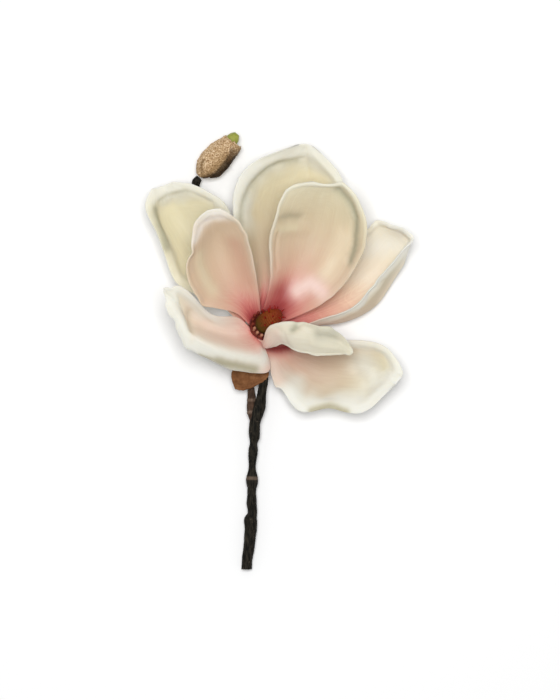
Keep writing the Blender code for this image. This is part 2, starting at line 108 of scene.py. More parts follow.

# ring, angle: where the petal grows. across: places of its guide curves from margin to margin,
# THREE_GUIDES where it has none of its own.
# rows: guide points from base to tip.
# lip: width and height of the rolled lip and how pale it is, on the left, at the tip, on the right.
# swell: the part of the petal over which the lip swells in, where that differs.
# face, back: colour stops from base to tip.
# folds: a path of places (along, across), then the width and height of a soft fold along it.
# tints: a path, then the width, colour and strength of a soft tint along it, the tissue's own colour unless
# said at the petal to be painted shade or a painted highlight.
# nudges: a place, then the radius and the shift of the tissue round it.
PETALS = {
    "petal_upper_back": {
        "ring": OUTER_RING, "angle": 92,
        "rows": (((-8, 22, 12), (0, 24, 8), (10, 23, 9)), ((-13, 42, 18.5), (4, 45, 7), (23, 43, 11)),
            ((-19.5, 60, 24.5), (9, 64, 8), (37, 61, 16)),
            ((-18, 77, 27.5), (14, 80, 12), (43.5, 76, 20)),
            ((-8, 90, 28.5), (18, 92, 18), (38, 87, 23.5)), ((9, 96.8, 28), (20, 98, 24), (30, 95, 26)),
            ((18, 99.8, 27.5), (21.5, 100.3, 27), (25, 99.4, 27))),
        "lip": ((12, 1, 0.9), (17, 1.2, 0.9), (8, 0.7, 0.8)), "swell": (0.34, 0.62),
        "face": ((0, DEEP), (0.08, ROSE), (0.13, PINK), (0.2, SALMON), (0.32, PEACH), (0.55, BEIGE),
            (0.85, CREAM)),
        "back": PALE_BACK,
        "folds": (
            (((0.45, -0.9), (0.59, -0.86), (0.7, -0.76), (0.79, -0.6), (0.82, -0.4), (0.85, 0)), 2.2, -0.9),
            (((0.92, 0.64), (0.74, 0.98)), 3, 0.8), (((0.76, 0.24), (0.98, 0.08)), 1.8, -0.7),
            (((0.2, -0.1), (0.6, 0)), 6, -0.4)),
        # the grey-green tint along the groove inside the left lip is painted shade
        "tints": (
            (((0.5, -0.9), (0.65, -0.81), (0.74, -0.69), (0.82, -0.52), (0.83, -0.1)), 2.4, PAINTED_SHADE, 0.5),),
    },
    "petal_upper_front": {
        "ring": INNER_RING, "angle": 52,
        "rows": (((0.5, 19, 21), (12, 16, 14), (23, 6, 18)), ((1, 33, 29), (20, 31, 16), (39.2, 17, 26)),
            ((1, 47, 36), (25, 45, 19), (51, 33, 34.5)), ((4, 59, 41), (29, 57, 24), (55.6, 46, 39.5)),
            ((8.5, 71, 43), (32, 68, 31), (54, 61, 42)), ((17, 78, 43), (33.5, 75, 38), (47.6, 73.8, 43)),
            ((26, 79, 42), (34, 77.4, 42), (42, 78.8, 43))),
        "lip": ((2.2, 0.22, 0.35), (3.2, 0.3, 0.4), (5, 0.4, 0.1)),
        "face": ((0, DEEP), (0.1, ROSE), (0.24, PINK), (0.38, SALMON), (0.55, PEACH), (0.75, BEIGE),
            (1, IVORY)),
        "back": PALE_BACK,
        "folds": ((((0.67, -0.82), (0.68, -0.45)), 3, -1.2), (((0.59, -0.8), (0.61, -0.25)), 2.6, 0.5),
            (((0.93, 0.5), (0.84, 0.7), (0.78, 0.75), (0.68, 0.74), (0.54, 0.81)), 2.4, -1.2),
            (((0.34, -0.8), (0.48, -0.84), (0.58, -0.84)), 1.6, -0.8),
            (((0.16, 0.15), (0.3, 0.36), (0.44, 0.46)), 5, 1.3), (((0.2, -0.35), (0.42, -0.25)), 5, -0.6)),
        # Of these tints the deep red at the base is the tissue's own; the paler cream over the right part,
        # the pink-white streak on the swelling lobe and the cream strip beside the dent are painted light,
        # and the grey-green along the right groove and in the dent is painted shade.
        "tints": ((((0.03, 0), (0.12, -0.07), (0.18, -0.3)), 8, DEEP, 0.75),
            (((0.42, 0.6), (0.64, 0.58)), 7, (0.88, 0.74, 0.56), 0.8),
            (((0.24, 0.2), (0.32, 0.42), (0.32, 0.78)), 5, (0.98, 0.72, 0.66), 0.9),
            (((0.94, 0.45), (0.84, 0.72), (0.78, 0.77), (0.68, 0.78), (0.54, 0.86)), 3, PAINTED_SHADE, 0.8),
            (((0.68, -0.8), (0.69, -0.5)), 3.2, PAINTED_SHADE, 0.45),
            (((0.61, -0.8), (0.62, -0.5)), 2.6, CREAM, 0.5)),
    },
    "petal_left_back": {
        "ring": OUTER_RING, "angle": 158,
        "rows": (((-25, 8, 14), (-21, 15, 9), (-12, 20, 10)),
            ((-41, 16, 17), (-32, 30, 8), (-17, 40, 13)), ((-53, 25, 21), (-41, 43, 8), (-20, 54, 18)),
            ((-59, 42, 25), (-49, 55, 10), (-22.5, 64, 22)),
            ((-65, 56, 27), (-55, 65, 14), (-29, 70.6, 25)),
            ((-68.8, 67, 28), (-58, 72, 20), (-43, 77.8, 26)),
            ((-65, 75.4, 27), (-60, 77, 24), (-54, 79.2, 26))),
        "lip": ((9, 0.9, 0.4), (13, 1, 0.9), (7, 0.5, 0.7)),
        "face": ((0, ROSE), (0.12, PINK), (0.26, SALMON), (0.42, CREAM), (1, CREAM)),
        "back": ((0, PINK), (0.3, BEIGE), (0.8, IVORY)),
        "folds": ((((0.9, -0.34), (0.92, 0.05), (0.89, 0.68), (0.77, 0.83)), 2, -0.7),
            (((0.3, 0), (0.85, 0.05)), 6, -0.5)),
        # both tints are painted shade: grey-green on the strip rolled back at the left and along the groove
        # inside the tip's lip
        "tints": ((((0.66, -0.9), (0.76, -0.8), (0.84, -0.7)), 3.6, PAINTED_SHADE, 0.75),
            (((0.9, -0.34), (0.92, 0.05), (0.89, 0.68)), 2, PAINTED_SHADE, 0.3)),
    },
    "petal_left_front": {
        "ring": INNER_RING, "angle": 130,
        "rows": (((-19, 5.4, 21), (-14, 12, 17), (-5, 16, 20)),
            ((-33, 8.8, 31), (-21, 22, 21), (-7, 27, 29)), ((-42, 17, 39), (-26, 33, 25), (-9, 39, 38)),
            ((-45.8, 30, 46), (-29, 43, 31), (-12, 48, 45)),
            ((-42.6, 44.5, 51), (-30.5, 52, 40), (-16.5, 56.5, 50)),
            ((-40.5, 56, 54), (-31, 58.5, 49), (-22.5, 60.8, 53)),
            ((-34, 62, 55), (-30.5, 62.8, 54), (-27, 63, 54.5))),
        "lip": ((3, 0.12, 0.1), (7, 0.5, 0.85), (3, 0.2, 0.25)),
        "face": ((0, DEEP), (0.08, ROSE), (0.18, PINK), (0.32, SALMON), (0.6, PEACH), (1, PEACH)),
        "back": PALE_BACK,
        "folds": ((((0.2, 0.3), (0.7, 0.55)), 3, 0.4), (((0.35, -0.5), (0.65, -0.6)), 4, 0.7)),
        "tints": ((((0.3, 0.6), (0.6, 0.6)), 6, (0.62, 0.36, 0.27), 0.55),
            (((0.4, -0.6), (0.66, -0.6)), 5, CREAM, 0.5),
            (((0.8, -0.9), (0.9, -0.6), (0.94, 0), (0.91, 0.6)), 4, (0.94, 0.84, 0.76), 0.9)),
        "nudges": (((0.74, -1), 3, (1.6, -0.4, 0)), ((0.36, -1), 4, (-1.6, -0.8, 0)),
            ((0.66, 1), 2.5, (0.9, 0, 0)), ((0.84, 1), 2.5, (-0.9, 0.5, 0))),
    },
    "petal_right": {
        "ring": OUTER_RING, "angle": 8, "across": (-1, -0.35, 0.4, 1),
        "rows": (((16, 9, 8), (19, 4, 8), (20, -2, 9.5), (18, -3, 14)),
            ((27, 20, 7), (32, 11, 5.5), (36.2, -0.8, 7.5), (33, 2.8, 18)),
            ((38, 33, 9), (46, 19, 3), (51, 3.5, 5.5), (46, 7.4, 20)),
            ((48, 44, 12), (58, 28, 1.8), (64.5, 13, 4.8), (55.5, 15.5, 21.5)),
            ((56, 52, 16.5), (66, 36, 3.5), (72.5, 26, 7.5), (64.5, 27, 23)),
            ((63, 57.4, 21), (72, 43, 9), (77.6, 35, 12.5), (71, 34.5, 25)),
            ((69.5, 55.6, 25), (77, 48, 17), (80.5, 43, 19), (77, 41.5, 26.5)),
            ((77, 53, 27), (80.5, 50.5, 25.5), (82.6, 48, 25.5), (81.8, 45.6, 27.5))),
        "lip": ((4, 0.4, 0.4), (6, 0.5, 0.7), (5, 0.4, 0.9)),
        # the face turns near-white peach and cream from the middle on, paler than the tissue, to lift the
        # shade in the petal's deep trough: painted light
        "face": ((0, DEEP), (0.1, ROSE), (0.24, (0.72, 0.34, 0.27)), (0.42, (0.86, 0.58, 0.44)),
            (0.58, (0.99, 0.82, 0.64)), (0.85, (0.94, 0.86, 0.68)), (1, WHITE)),
        # the darker tan at 0.7 on the back is painted shade on the belly turned from the light
        "back": ((0, PINK), (0.25, BLUSH), (0.45, PEACH), (0.7, (0.52, 0.46, 0.33)), (1, IVORY)),
        "folds": ((((0.3, 0.1), (0.8, 0.2)), 4, -0.5), (((0.5, 0.8), (0.62, 0.92), (0.7, 0.85)), 1.6, 0.5)),
        # the first two tints, near-white patches over the middle and the tip of the face, are painted light
        "tints": ((((0.66, -0.8), (0.84, -0.4), (0.92, 0.3)), 9, (1, 0.97, 0.86), 0.8),
            (((0.48, -0.6), (0.62, -0.3)), 7, (1, 0.87, 0.72), 0.7),
            (((0.6, 0.5), (0.8, 0.5)), 4, (0.98, 0.84, 0.68), 0.5)),
        "nudges": (((0.8, -1), 2, (0.3, 1, 0)), ((0.9, -0.9), 2, (0.2, -0.7, 0)),
            ((0.66, 0.95), 2, (0.5, -0.5, 0))),
    },
    "petal_lower_left": {
        "ring": INNER_RING, "angle": 217, "across": (-1, -0.45, 0.25, 1),
        "rows": (((1.2, -26.6, 19.5), (-5, -16.5, 22), (-12, -7, 17), (-17, 2.5, 19)),
            ((-8, -29, 24.5), (-14, -18, 29), (-20, -8, 20), (-25, 3, 25)),
            ((-22, -27, 29), (-25, -15.5, 35), (-29, -6, 24), (-34, 5.5, 33)),
            ((-34, -21, 34), (-36, -11.5, 40), (-38, -2, 29), (-41.5, 13.5, 41)),
            ((-46, -13.8, 39), (-45, -5, 42), (-46, 3, 36), (-48, 19, 46)),
            ((-53.4, -0.6, 44), (-51.5, 5, 44), (-51.5, 10, 42), (-54, 19.9, 48)),
            ((-57.6, 9, 47), (-57, 12.6, 46), (-57.4, 15.6, 46.5), (-58.6, 18.4, 48))),
        "lip": ((5, 0.4, 0.95), (17, 0.9, 0.85), (6, 0.4, 0.7)),
        "face": ((0, ROSE), (0.1, PINK), (0.26, BLUSH), (0.6, BLUSH), (1, IVORY)),
        # the grey-green on the back is painted shade on the outer face, which faces down
        "back": ((0, PEACH), (0.3, PAINTED_SHADE), (0.8, IVORY)),
        "folds": ((((0.7, 0.45), (0.7, -0.25)), 3, -1), (((0.3, 0.2), (0.7, 0.3)), 4, -0.5)),
        "tints": ((((0.1, -0.7), (0.3, -0.6), (0.66, -0.68)), 5, WHITE, 0.95),
            # the three tints below are painted shade: olive-grey on the outer face under the curled-up lower
            # margin, and grey-green in the fold
            (((0.24, -0.88), (0.36, -0.84), (0.5, -0.88)), 3, (0.43, 0.4, 0.29), 1),
            (((0.55, -0.92), (0.64, -0.97)), 1.6, (0.46, 0.43, 0.32), 0.9),
            (((0.7, 0.45), (0.7, -0.25)), 2.2, PAINTED_SHADE, 0.3)),
        "nudges": (((0.98, 0.4), 2.5, (-1.2, 0.6, 0)), ((0.88, -0.9), 2.5, (1.3, 0.8, 0)),
            ((0.9, 1), 2, (0, -1.2, 0)), ((0.74, -1), 3, (-1, -0.6, 0))),
    },
    "petal_lower_right": {
        "ring": OUTER_RING, "angle": 290,
        "rows": (((15, -9, 15), (8, -17, 13), (0, -22, 14.5)),
            ((29, -9, 17), (17, -23, 10), (3, -33, 16)), ((42, -10, 21), (28, -28, 9), (9.5, -40, 18)),
            ((54, -11, 25), (40, -31, 10), (18, -50.5, 19)),
            ((64, -13.4, 28), (50, -32, 13), (34, -49, 20)),
            ((71.5, -19.5, 29), (60, -33, 18), (52, -51.5, 23)),
            ((75.8, -26.5, 29), (68, -34, 23), (64, -43, 26)),
            ((76.2, -30.4, 28.5), (74, -32.6, 28), (72, -35.4, 28))),
        "lip": ((6, 0.5, 0.75), (13, 1.2, 1), (12, 1.1, 1)),
        "face": ((0, ROSE), (0.08, PINK), (0.2, (0.56, 0.37, 0.28)), (0.36, (0.58, 0.44, 0.33)),
            (0.6, (0.6, 0.5, 0.37)), (0.85, CREAM)),
        # the grey-green towards the tip of the back is painted shade on the outer face, which faces down
        "back": ((0, PINK), (0.3, PEACH), (0.8, PAINTED_SHADE)),
        "folds": ((((0.52, -0.41), (0.66, -0.1), (0.78, 0.21)), 3.5, -0.9),
            (((0.6, -0.4), (0.74, -0.34)), 5, -1)),
        "tints": ((((0.62, -0.45), (0.74, -0.2), (0.84, 0.1)), 9, WHITE, 0.7),
            (((0.14, 0.8), (0.26, 0.85)), 4, BLUSH, 0.8),
            # the dark red below marks the red base in the shadow of the curled petal, partly its own red and
            # partly painted shadow; the olive-grey after it is painted shade on the outer face seen in the
            # dip of the lower margin
            (((0, 0.4), (0.05, 0.04), (0.11, -0.5)), 3.6, (0.22, 0.012, 0.01), 1),
            (((0.58, 1), (0.66, 0.97), (0.73, 1)), 2.4, (0.46, 0.43, 0.31), 1)),
        "nudges": (((0.28, 1), 2.2, (-0.6, -1.4, 0)), ((0.66, 1), 4.5, (0.2, 0.3, 1.5))),
    },
    "petal_curled": {
        "ring": INNER_RING, "angle": 276,
        "rows": (((4.6, -13.2, 24), (-1.4, -14.4, 25), (-2.2, -10.2, 23)),
            ((9, -12.4, 31), (3, -8, 34), (0, -3.5, 32)), ((15, -16, 35), (9, -7.5, 40), (6.5, -0.4, 38)),
            ((23, -17.9, 38), (19, -8, 44), (17, 0.2, 41)), ((33, -19, 39), (29, -9, 46), (27, -2.2, 42)),
            ((41, -18.6, 39), (38, -10.5, 45), (36, -4.2, 42)),
            ((44, -19, 39), (43.6, -14, 42.5), (42.8, -9.2, 40)),
            ((46.4, -18.8, 39), (47.9, -17.6, 39.6), (47.4, -15.8, 39))),
        "lip": ((2, -0.25, 0.2), (2.5, -0.25, 0.2), (2, -0.25, 0.2)),
        "face": ((0, DEEP), (0.2, ROSE), (0.5, PINK), (1, CREAM)),
        "back": ((0, ROSE), (0.08, PINK), (0.22, (0.74, 0.58, 0.5)), (0.42, (0.75, 0.72, 0.59)),
            (0.8, (0.75, 0.71, 0.57)), (1, IVORY)),
        "folds": ((((0.74, 0.24), (0.82, 0.42)), 4.6, 1.9), (((0.5, 0.4), (0.54, 0.6)), 2.2, 1.4),
            (((0.6, 0.75), (0.68, 0.7)), 3, -0.9), (((0.36, -0.9), (0.41, 0), (0.36, 0.9)), 1.6, 0.7),
            (((0.62, -0.4), (0.8, -0.6)), 2.5, -0.7)),
        # the olive-grey and grey-green tints over the dents are painted shade
        "tints": ((((0.72, 0.26), (0.8, 0.42), (0.84, 0.6)), 5, (0.42, 0.42, 0.34), 0.75),
            (((0.49, 0.36), (0.53, 0.66)), 2.2, PAINTED_SHADE, 0.8), (((0.3, -0.7), (0.34, 0.2)), 2.2, BLUSH, 0.6)),
        "nudges": (((0.9, -1), 2, (0, 0.9, 0)), ((0.8, 1), 3, (0.6, 0.8, 0)),
            ((0.62, -1), 3, (0, -0.7, 0)), ((0.55, 1), 2.5, (0, -0.7, 0))),
    },
}
THREE_GUIDES = (-1, 0, 1)
PETAL_CELLS = (110, 92)  # grid cells along and across a petal
LIP_FADE = (0.12, 0.42)  # the lip swells in over this part of the petal
LIP_CREST, LIP_SPREAD = 0.42, 0.34  # place and half-width of the lip's crest, as shares of its width
GROOVE_PLACE, GROOVE_SPREAD = 1.15, 0.32  # the same of the groove behind the lip
RIM_STATIONS = (-2, -1.4, -1.03, 0, 1.03, 1.4, 2)  # from the left foot over the tip at 0 to the right foot
EASE_STEPS = 30  # how many times the lip's sizes are averaged with those of the next cells
LIP_PALE = (0.45, 1.45)  # the lip's paleness fades out over this part of its width

# ---- pistil cone, styles and stamens ----
CONE_AXIS = np.array((0.57, 0.466, 0.673))
CONE_LENGTH = 17.0
CONE_FOOT = 1.8
CONE_PROFILE = ((0.02, 4.6), (0.12, 5.6), (0.36, 5.8), (0.62, 5.2), (0.83, 3.9), (0.95, 2.4), (0.995, 1.2))
STYLE_COUNT = 20
STYLE_SPAN = (0.42, 0.95)
STYLE_TURN = 137.5
STAMEN_COUNT = 16
STAMEN_RING = 6.8
STAMEN_LEAN, STAMEN_LEAN_CHANGE, STAMEN_LEAN_SIDE = 24, 16, 15
STAMEN_PALE = (190, 262)  # degrees round the cup between which the stamens are pale; the others are red

# ---- branch: centre x, y, z and radius from the cut end upwards ----
STEM = (
    (-12.3, -142.0, 2.98, 3.05), (-12.2, -138, 3.2, 3.0), (-11.2, -131, 3.65, 3.15), (-10.3, -123, 4.1, 3.4),
    (-10.0, -116.5, 4.4, 3.7), (-9.9, -113, 4.6, 3.6), (-9.3, -111, 4.7, 2.9), (-9.3, -105, 4.9, 2.85),
    (-9.3, -96, 5.2, 2.6), (-9.2, -92.3, 5.4, 3.3), (-9.2, -89.5, 5.5, 3.4), (-9.1, -86, 5.7, 2.4),
    (-8.9, -79, 6.2, 2.25), (-8.5, -72.4, 6.7, 2.55), (-8.3, -69.6, 6.9, 2.1), (-7.9, -66.6, 7.2, 2.9),
    (-7.6, -58, 7.8, 3.1), (-5.4, -50, 8.4, 3.6), (-3.7, -42, 8.9, 2.6), (-2.8, -33, 9.4, 2.85),
    (-2.6, -23, 9.7, 3.0), (-2.3, -15, 10.2, 3.5),
)
TWIG = (
    (-7.4, -62.0, 6.8, 1.7), (-8.7, -55, 6.9, 2.2), (-9.6, -50.8, 6.8, 2.5), (-9.5, -46.5, 6.6, 2.6),
    (-9.8, -39, 5.6, 2.05), (-12.0, -24, 3.4, 1.9), (-18.2, 4, 2.0, 1.8), (-29.5, 41, 2.0, 1.8),
    (-37.6, 66, 3.2, 1.8), (-41.2, 77.4, 5.0, 1.9), (-41.4, 80.2, 6.0, 2.5), (-39.6, 82.6, 6.9, 2.0),
)
TWIG_SIDES, TWIG_RINGS = 28, 300
STEM_SCARS = ((0.33, 0.25), (0.475, 0.2))  # place along the stem and depth of each ring scar
TWIG_SCARS = ((0.068, 0.3), (0.115, 0.3), (0.5, 0.2), (0.93, 0.3))
# stains round the wood: where each starts and ends along it, how softly, its colour and its strength
STEM_STAINS = ((0.366, 0.376, 0.004, (0.20, 0.14, 0.10), 0.5), (0.93, 1.0, 0.03, (0.16, 0.03, 0.02), 1.0))
TWIG_REACH = 3.4  # wood this close to the twig's centre line, and not nearer the stem's, is twig
TWIG_STAINS = (
    (0.0, 0.9, 0.02, (0.080, 0.044, 0.028), 0.85), (0.066, 0.074, 0.004, (0.22, 0.15, 0.11), 0.8),
    (0.112, 0.118, 0.004, (0.22, 0.15, 0.11), 0.7),
)

# ---- bud ----
BUD_FOOT = np.array((-38.6, 83.8, 7.7))
BUD_TIP = np.array((-17.7, 107.9, 9.7))
BUD_TIP_STATIONS = ((0.16, 0.7), (0.24, 2.2), (0.4, 3.6), (0.62, 3.8), (0.82, 3.6), (0.93, 3.1), (1.0, 1.5))
BUD_OUTER_STATIONS = (
    (0.0, 2.6, 42, 318), (0.1, 5.7, 42, 318), (0.22, 7.3, 42, 318), (0.4, 7.7, 42, 318),
    (0.56, 7.1, 42, 318), (0.7, 5.7, 44, 316), (0.79, 4.7, 46, 314), (0.84, 4.4, 48, 312),
)
BUD_INNER_STATIONS = (
    (0.1, 4.4, -32, 32), (0.2, 7.2, -34, 34), (0.32, 8.2, -34, 34), (0.46, 8.3, -33, 33),
    (0.6, 7.6, -30, 30), (0.68, 7.5, -28, 42), (0.77, 7.2, -22, 56), (0.86, 6.6, -14, 62),
)

BUD_TUCK = 14  # degrees that the inner scale's edges go on under the outer scale
# dark patches on the scales, laid on as the tints of the petals: painted shade along the seam between the two
# scales and over most of the inner scale, and thin dark lines lower on the outer scale
BUD_OUTER_PAINTED_SHADE = (
    (((0.04, 0.84), (0.3, 0.82), (0.7, 0.86)), 2.6, (0.36, 0.22, 0.10), 0.8),
    (((0.0, 0.9), (0.12, 0.94), (0.3, 1.0), (0.7, 1.0)), 1.5, (0.05, 0.028, 0.012), 0.95),
    (((0.10, 0.62), (0.22, 0.45), (0.34, 0.40)), 1.0, (0.16, 0.09, 0.03), 0.7),
    (((0.04, 0.30), (0.16, 0.20)), 1.4, (0.20, 0.12, 0.04), 0.6),
)
BUD_INNER_PAINTED_SHADE = (
    (((0.0, -0.5), (0.5, -0.45), (0.66, 0.0)), 4.8, (0.03, 0.018, 0.009), 1.0),
    (((0.0, 0.2), (0.7, 0.2)), 6.0, (0.05, 0.028, 0.012), 0.95),
    (((0.6, -0.9), (0.8, -0.8)), 2.0, (0.10, 0.05, 0.02), 0.7),
)

# ---- bract ----
BRACT = (
    ((-0.6, -24.0, 13.9), (0.2, -27.4, 13.7), (0.6, -30.6, 13.6)),
    ((-10.0, -22.5, 15.0), (-7.6, -30, 14.2), (-3.2, -34.4, 13.2)),
    ((-15.5, -24.0, 15.0), (-12.0, -33, 13.2), (-8.2, -37.2, 12.2)),
    ((-20.0, -27.0, 14.0), (-17.0, -34.4, 11.8), (-14.4, -39.3, 11.0)),
    ((-21.2, -31.0, 12.4), (-20.2, -35, 11.0), (-18.8, -38.8, 10.4)),
)


# ---- geometry helpers ----


def spline(knots, values, at):
    """Natural cubic spline through values (one row for each knot), read at the places `at`."""
    knots, values, at = (np.asarray(a, float) for a in (knots, values, at))
    gap = np.diff(knots)
    slope = np.diff(values, axis=0) / gap[:, None]
    system = np.eye(len(knots))
    bend = np.zeros_like(values)
    for i in range(1, len(knots) - 1):
        system[i, i - 1 : i + 2] = gap[i - 1], 2 * (gap[i - 1] + gap[i]), gap[i]
        bend[i] = 6 * (slope[i] - slope[i - 1])
    bend = np.linalg.solve(system, bend)
    i = np.clip(np.searchsorted(knots, at) - 1, 0, len(gap) - 1)
    t, h = (at - knots[i])[:, None], gap[i][:, None]
    start = slope[i] - h * (2 * bend[i] + bend[i + 1]) / 6
    return values[i] + t * (start + t * (bend[i] / 2 + t * (bend[i + 1] - bend[i]) / (6 * h)))


def unit(vectors):
    return vectors / np.linalg.norm(vectors, axis=-1, keepdims=True)


def smooth_step(low, high, x):
    t = np.clip((x - low) / (high - low), 0, 1)
    return t * t * (3 - 2 * t)


def lofted(rows, across, u, v):
    """Grid of points on the surface through rows of guide points; u runs 0 to 1, v -1 to 1."""
    rows = np.array(rows, float)
    steps = np.linalg.norm(np.diff(rows, axis=0), axis=2).mean(axis=1)
    along = np.concatenate([[0], np.cumsum(steps)])
    guides = spline(along, rows.reshape(len(rows), -1), u * along[-1]).reshape(len(u), len(across), 3)
    crossed = spline(across, guides.swapaxes(0, 1).reshape(len(across), -1), v)
    return crossed.reshape(len(v), len(u), 3).swapaxes(0, 1)


def normals_of(grid):
    return unit(np.cross(np.gradient(grid, axis=1), np.gradient(grid, axis=0)))


def stacked(*fields):
    """Points whose coordinates are the fields, each an array or one number for all."""
    return np.stack(np.broadcast_arrays(*fields), axis=-1).astype(float)


def hill(gap, width):
    """1 where the gap is 0, falling smoothly to about a third where it is the width."""
    return np.exp(-((gap / width) ** 2))


def ripple(points, scale, seed):
    """Smooth noise between about -1 and 1 at each point, with features about `scale` in size."""
    flat = points.reshape(-1, 3) / scale + seed * 17.3
    return np.array([noise.noise(Vector(p)) for p in flat]).reshape(points.shape[:-1])


def cup_frame():
    """Unit vectors to the right, away from the stem, and along the flower's axis."""
    axis = unit(CUP_AXIS)
    right = unit(np.array((1, 0, -axis[0] / axis[2])))
    return right, np.cross(axis, right), axis


def cup_point(angle, radius, height):
    """A point round the flower's axis: angle in degrees, anticlockwise from the right."""
    right, away, axis = cup_frame()
    turn = math.radians(angle)
    return CUP_CENTRE + radius * (math.cos(turn) * right + math.sin(turn) * away) + height * axis


# ---- pieces ----

MARK_FIELDS = {"FLOAT": "value", "FLOAT_VECTOR": "vector", "FLOAT_COLOR": "color"}


def add_object(name, data):
    obj = bpy.data.objects.new(name, data)
    bpy.context.scene.collection.objects.link(obj)
    return obj


def add_piece(name, points, faces, material, nodes, marks):
    """A smooth mesh piece that rides on the branch, from points in millimetres from the heart."""
    mesh = bpy.data.meshes.new(name)
    points = (np.asarray(points, float) + HEART) * MM
    points[:, 2] = np.maximum(points[:, 2], 0)  # nothing goes below the surface it lies on
    mesh.from_pydata(points.tolist(), [], faces)
    mesh.polygons.foreach_set("use_smooth", [True] * len(mesh.polygons))
    for mark, (kind, values) in marks.items():
        layer = mesh.attributes.new(mark, kind, "POINT")
        layer.data.foreach_set(MARK_FIELDS[kind], np.ravel(values))
    mesh.materials.append(material)
    obj = add_object(name, mesh)
    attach(obj, "root")
    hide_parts(*nodes)
    return obj


def sheet_faces(rows, cols):
    """Quads of a closed sheet: a front grid, a back grid and the wall between their margins."""
    index = np.arange(rows * cols).reshape(rows, cols)
    back = rows * cols
    a, b = index[:-1, :-1].ravel(), index[1:, :-1].ravel()
    front = np.stack([a, a + 1, b + 1, b], axis=1)
    behind = np.stack([a, b, b + 1, a + 1], axis=1) + back
    a = np.concatenate([index[0], index[1:, -1], index[-1, -2::-1], index[-2:0:-1, 0]])
    b = np.roll(a, -1)
    wall = np.stack([b, a, back + a, back + b], axis=1)
    return np.concatenate([front, behind, wall]).tolist()


def add_sheet(name, grid, half, place, material, nodes, stains_and_painted_light=None):
    """A closed sheet of the given half thickness round a grid, marked for its material with each point's
    place, its face and the colour and strength of what lies over it: stains, painted shade and painted
    highlights."""
    normal = normals_of(grid)
    points = np.concatenate([grid + normal * half[..., None], grid - normal * half[..., None]])
    stains_and_painted_light = np.zeros((*half.shape, 4)) if stains_and_painted_light is None else stains_and_painted_light
    marks = {
        "place": ("FLOAT_VECTOR", [place] * 2),
        "face": ("FLOAT", np.repeat((1.0, 0.0), half.size)),
        "stain_and_painted_light": ("FLOAT_COLOR", [stains_and_painted_light] * 2),
    }
    faces = sheet_faces(*half.shape)
    return add_piece(name, points.reshape(-1, 3), faces, material, nodes, marks)


def laid_over(colour, cover, layers):
    """Colour and strength, at every point, of stains, painted shade and painted highlights laid one over
    another on a first colour and cover.
    """
    for share, stain_and_painted_light in layers:
        colour = colour * (1 - share[..., None]) + np.array(stain_and_painted_light) * share[..., None]
        cover = cover * (1 - share) + share
    return np.concatenate([colour / np.maximum(cover, 1e-3)[..., None], cover[..., None]], axis=-1)


def margin_distance(grid):
    """Distance of each grid point to the margins and the tip, and which of them is nearest."""
    left, tip, right = grid[:, 0], grid[-1], grid[:, -1]
    rim = np.concatenate([left, tip, right])
    rows = len(left)
    spot = np.concatenate([np.linspace(0, 1, rows) - 2, np.zeros(len(tip)), 2 - np.linspace(0, 1, rows)])
    flat = grid.reshape(-1, 3)
    near = np.empty(len(flat))
    which = np.empty(len(flat), int)
    for start in range(0, len(flat), 2000):
        gap = np.linalg.norm(flat[start : start + 2000, None] - rim[None], axis=2)
        which[start : start + 2000] = gap.argmin(axis=1)
        near[start : start + 2000] = gap.min(axis=1)
    return near.reshape(grid.shape[:2]), spot[which].reshape(grid.shape[:2])


def eased(field):
    """The field with its sharp steps spread over the cells round them."""
    for _ in range(EASE_STEPS):
        field = np.pad(field, 1, "edge")
        field = (field[:-2, 1:-1] + field[2:, 1:-1] + field[1:-1, :-2] + field[1:-1, 2:]) / 4
    return field


def petal_rows(spec):
    """The guide rows of a petal, with its base row on the receptacle put first."""
    ring = spec["ring"]
    height = 0 if ring == INNER_RING else -OUTER_DROP
    spread = math.degrees(PETAL_BASE_WIDTH / 2 / ring)
    across = spec.get("across", THREE_GUIDES)
    base = tuple(cup_point(spec["angle"] - v * spread, ring, height) for v in across)
    return (base, *spec["rows"])


def path_gap(grid, u, v, path):
    """Distance in millimetres of each grid point from a path of (along, across) places on the petal."""
    places = np.array(path, float)
    steps = np.linspace(0, len(places) - 1, 14 * len(places))
    cells = []
    for column, axis in enumerate((u, v)):
        place = np.interp(steps, np.arange(len(places)), places[:, column])
        cells.append(np.interp(place, axis, np.arange(len(axis))).round().astype(int))
    return np.linalg.norm(grid[:, :, None] - grid[cells[0], cells[1]], axis=-1).min(axis=-1)


def sheet_stains_and_painted_light(grid, u, v, tints, rim):
    """The stains, painted shade and painted highlights that lie over a sheet's own colour, its pale rim
    first.
    """
    layers = (
        (strength * hill(path_gap(grid, u, v, path), width), stain_and_painted_light) for path, width, stain_and_painted_light, strength in tints
    )
    return laid_over(np.full((*rim.shape, 3), WHITE) * rim[..., None], rim, layers)


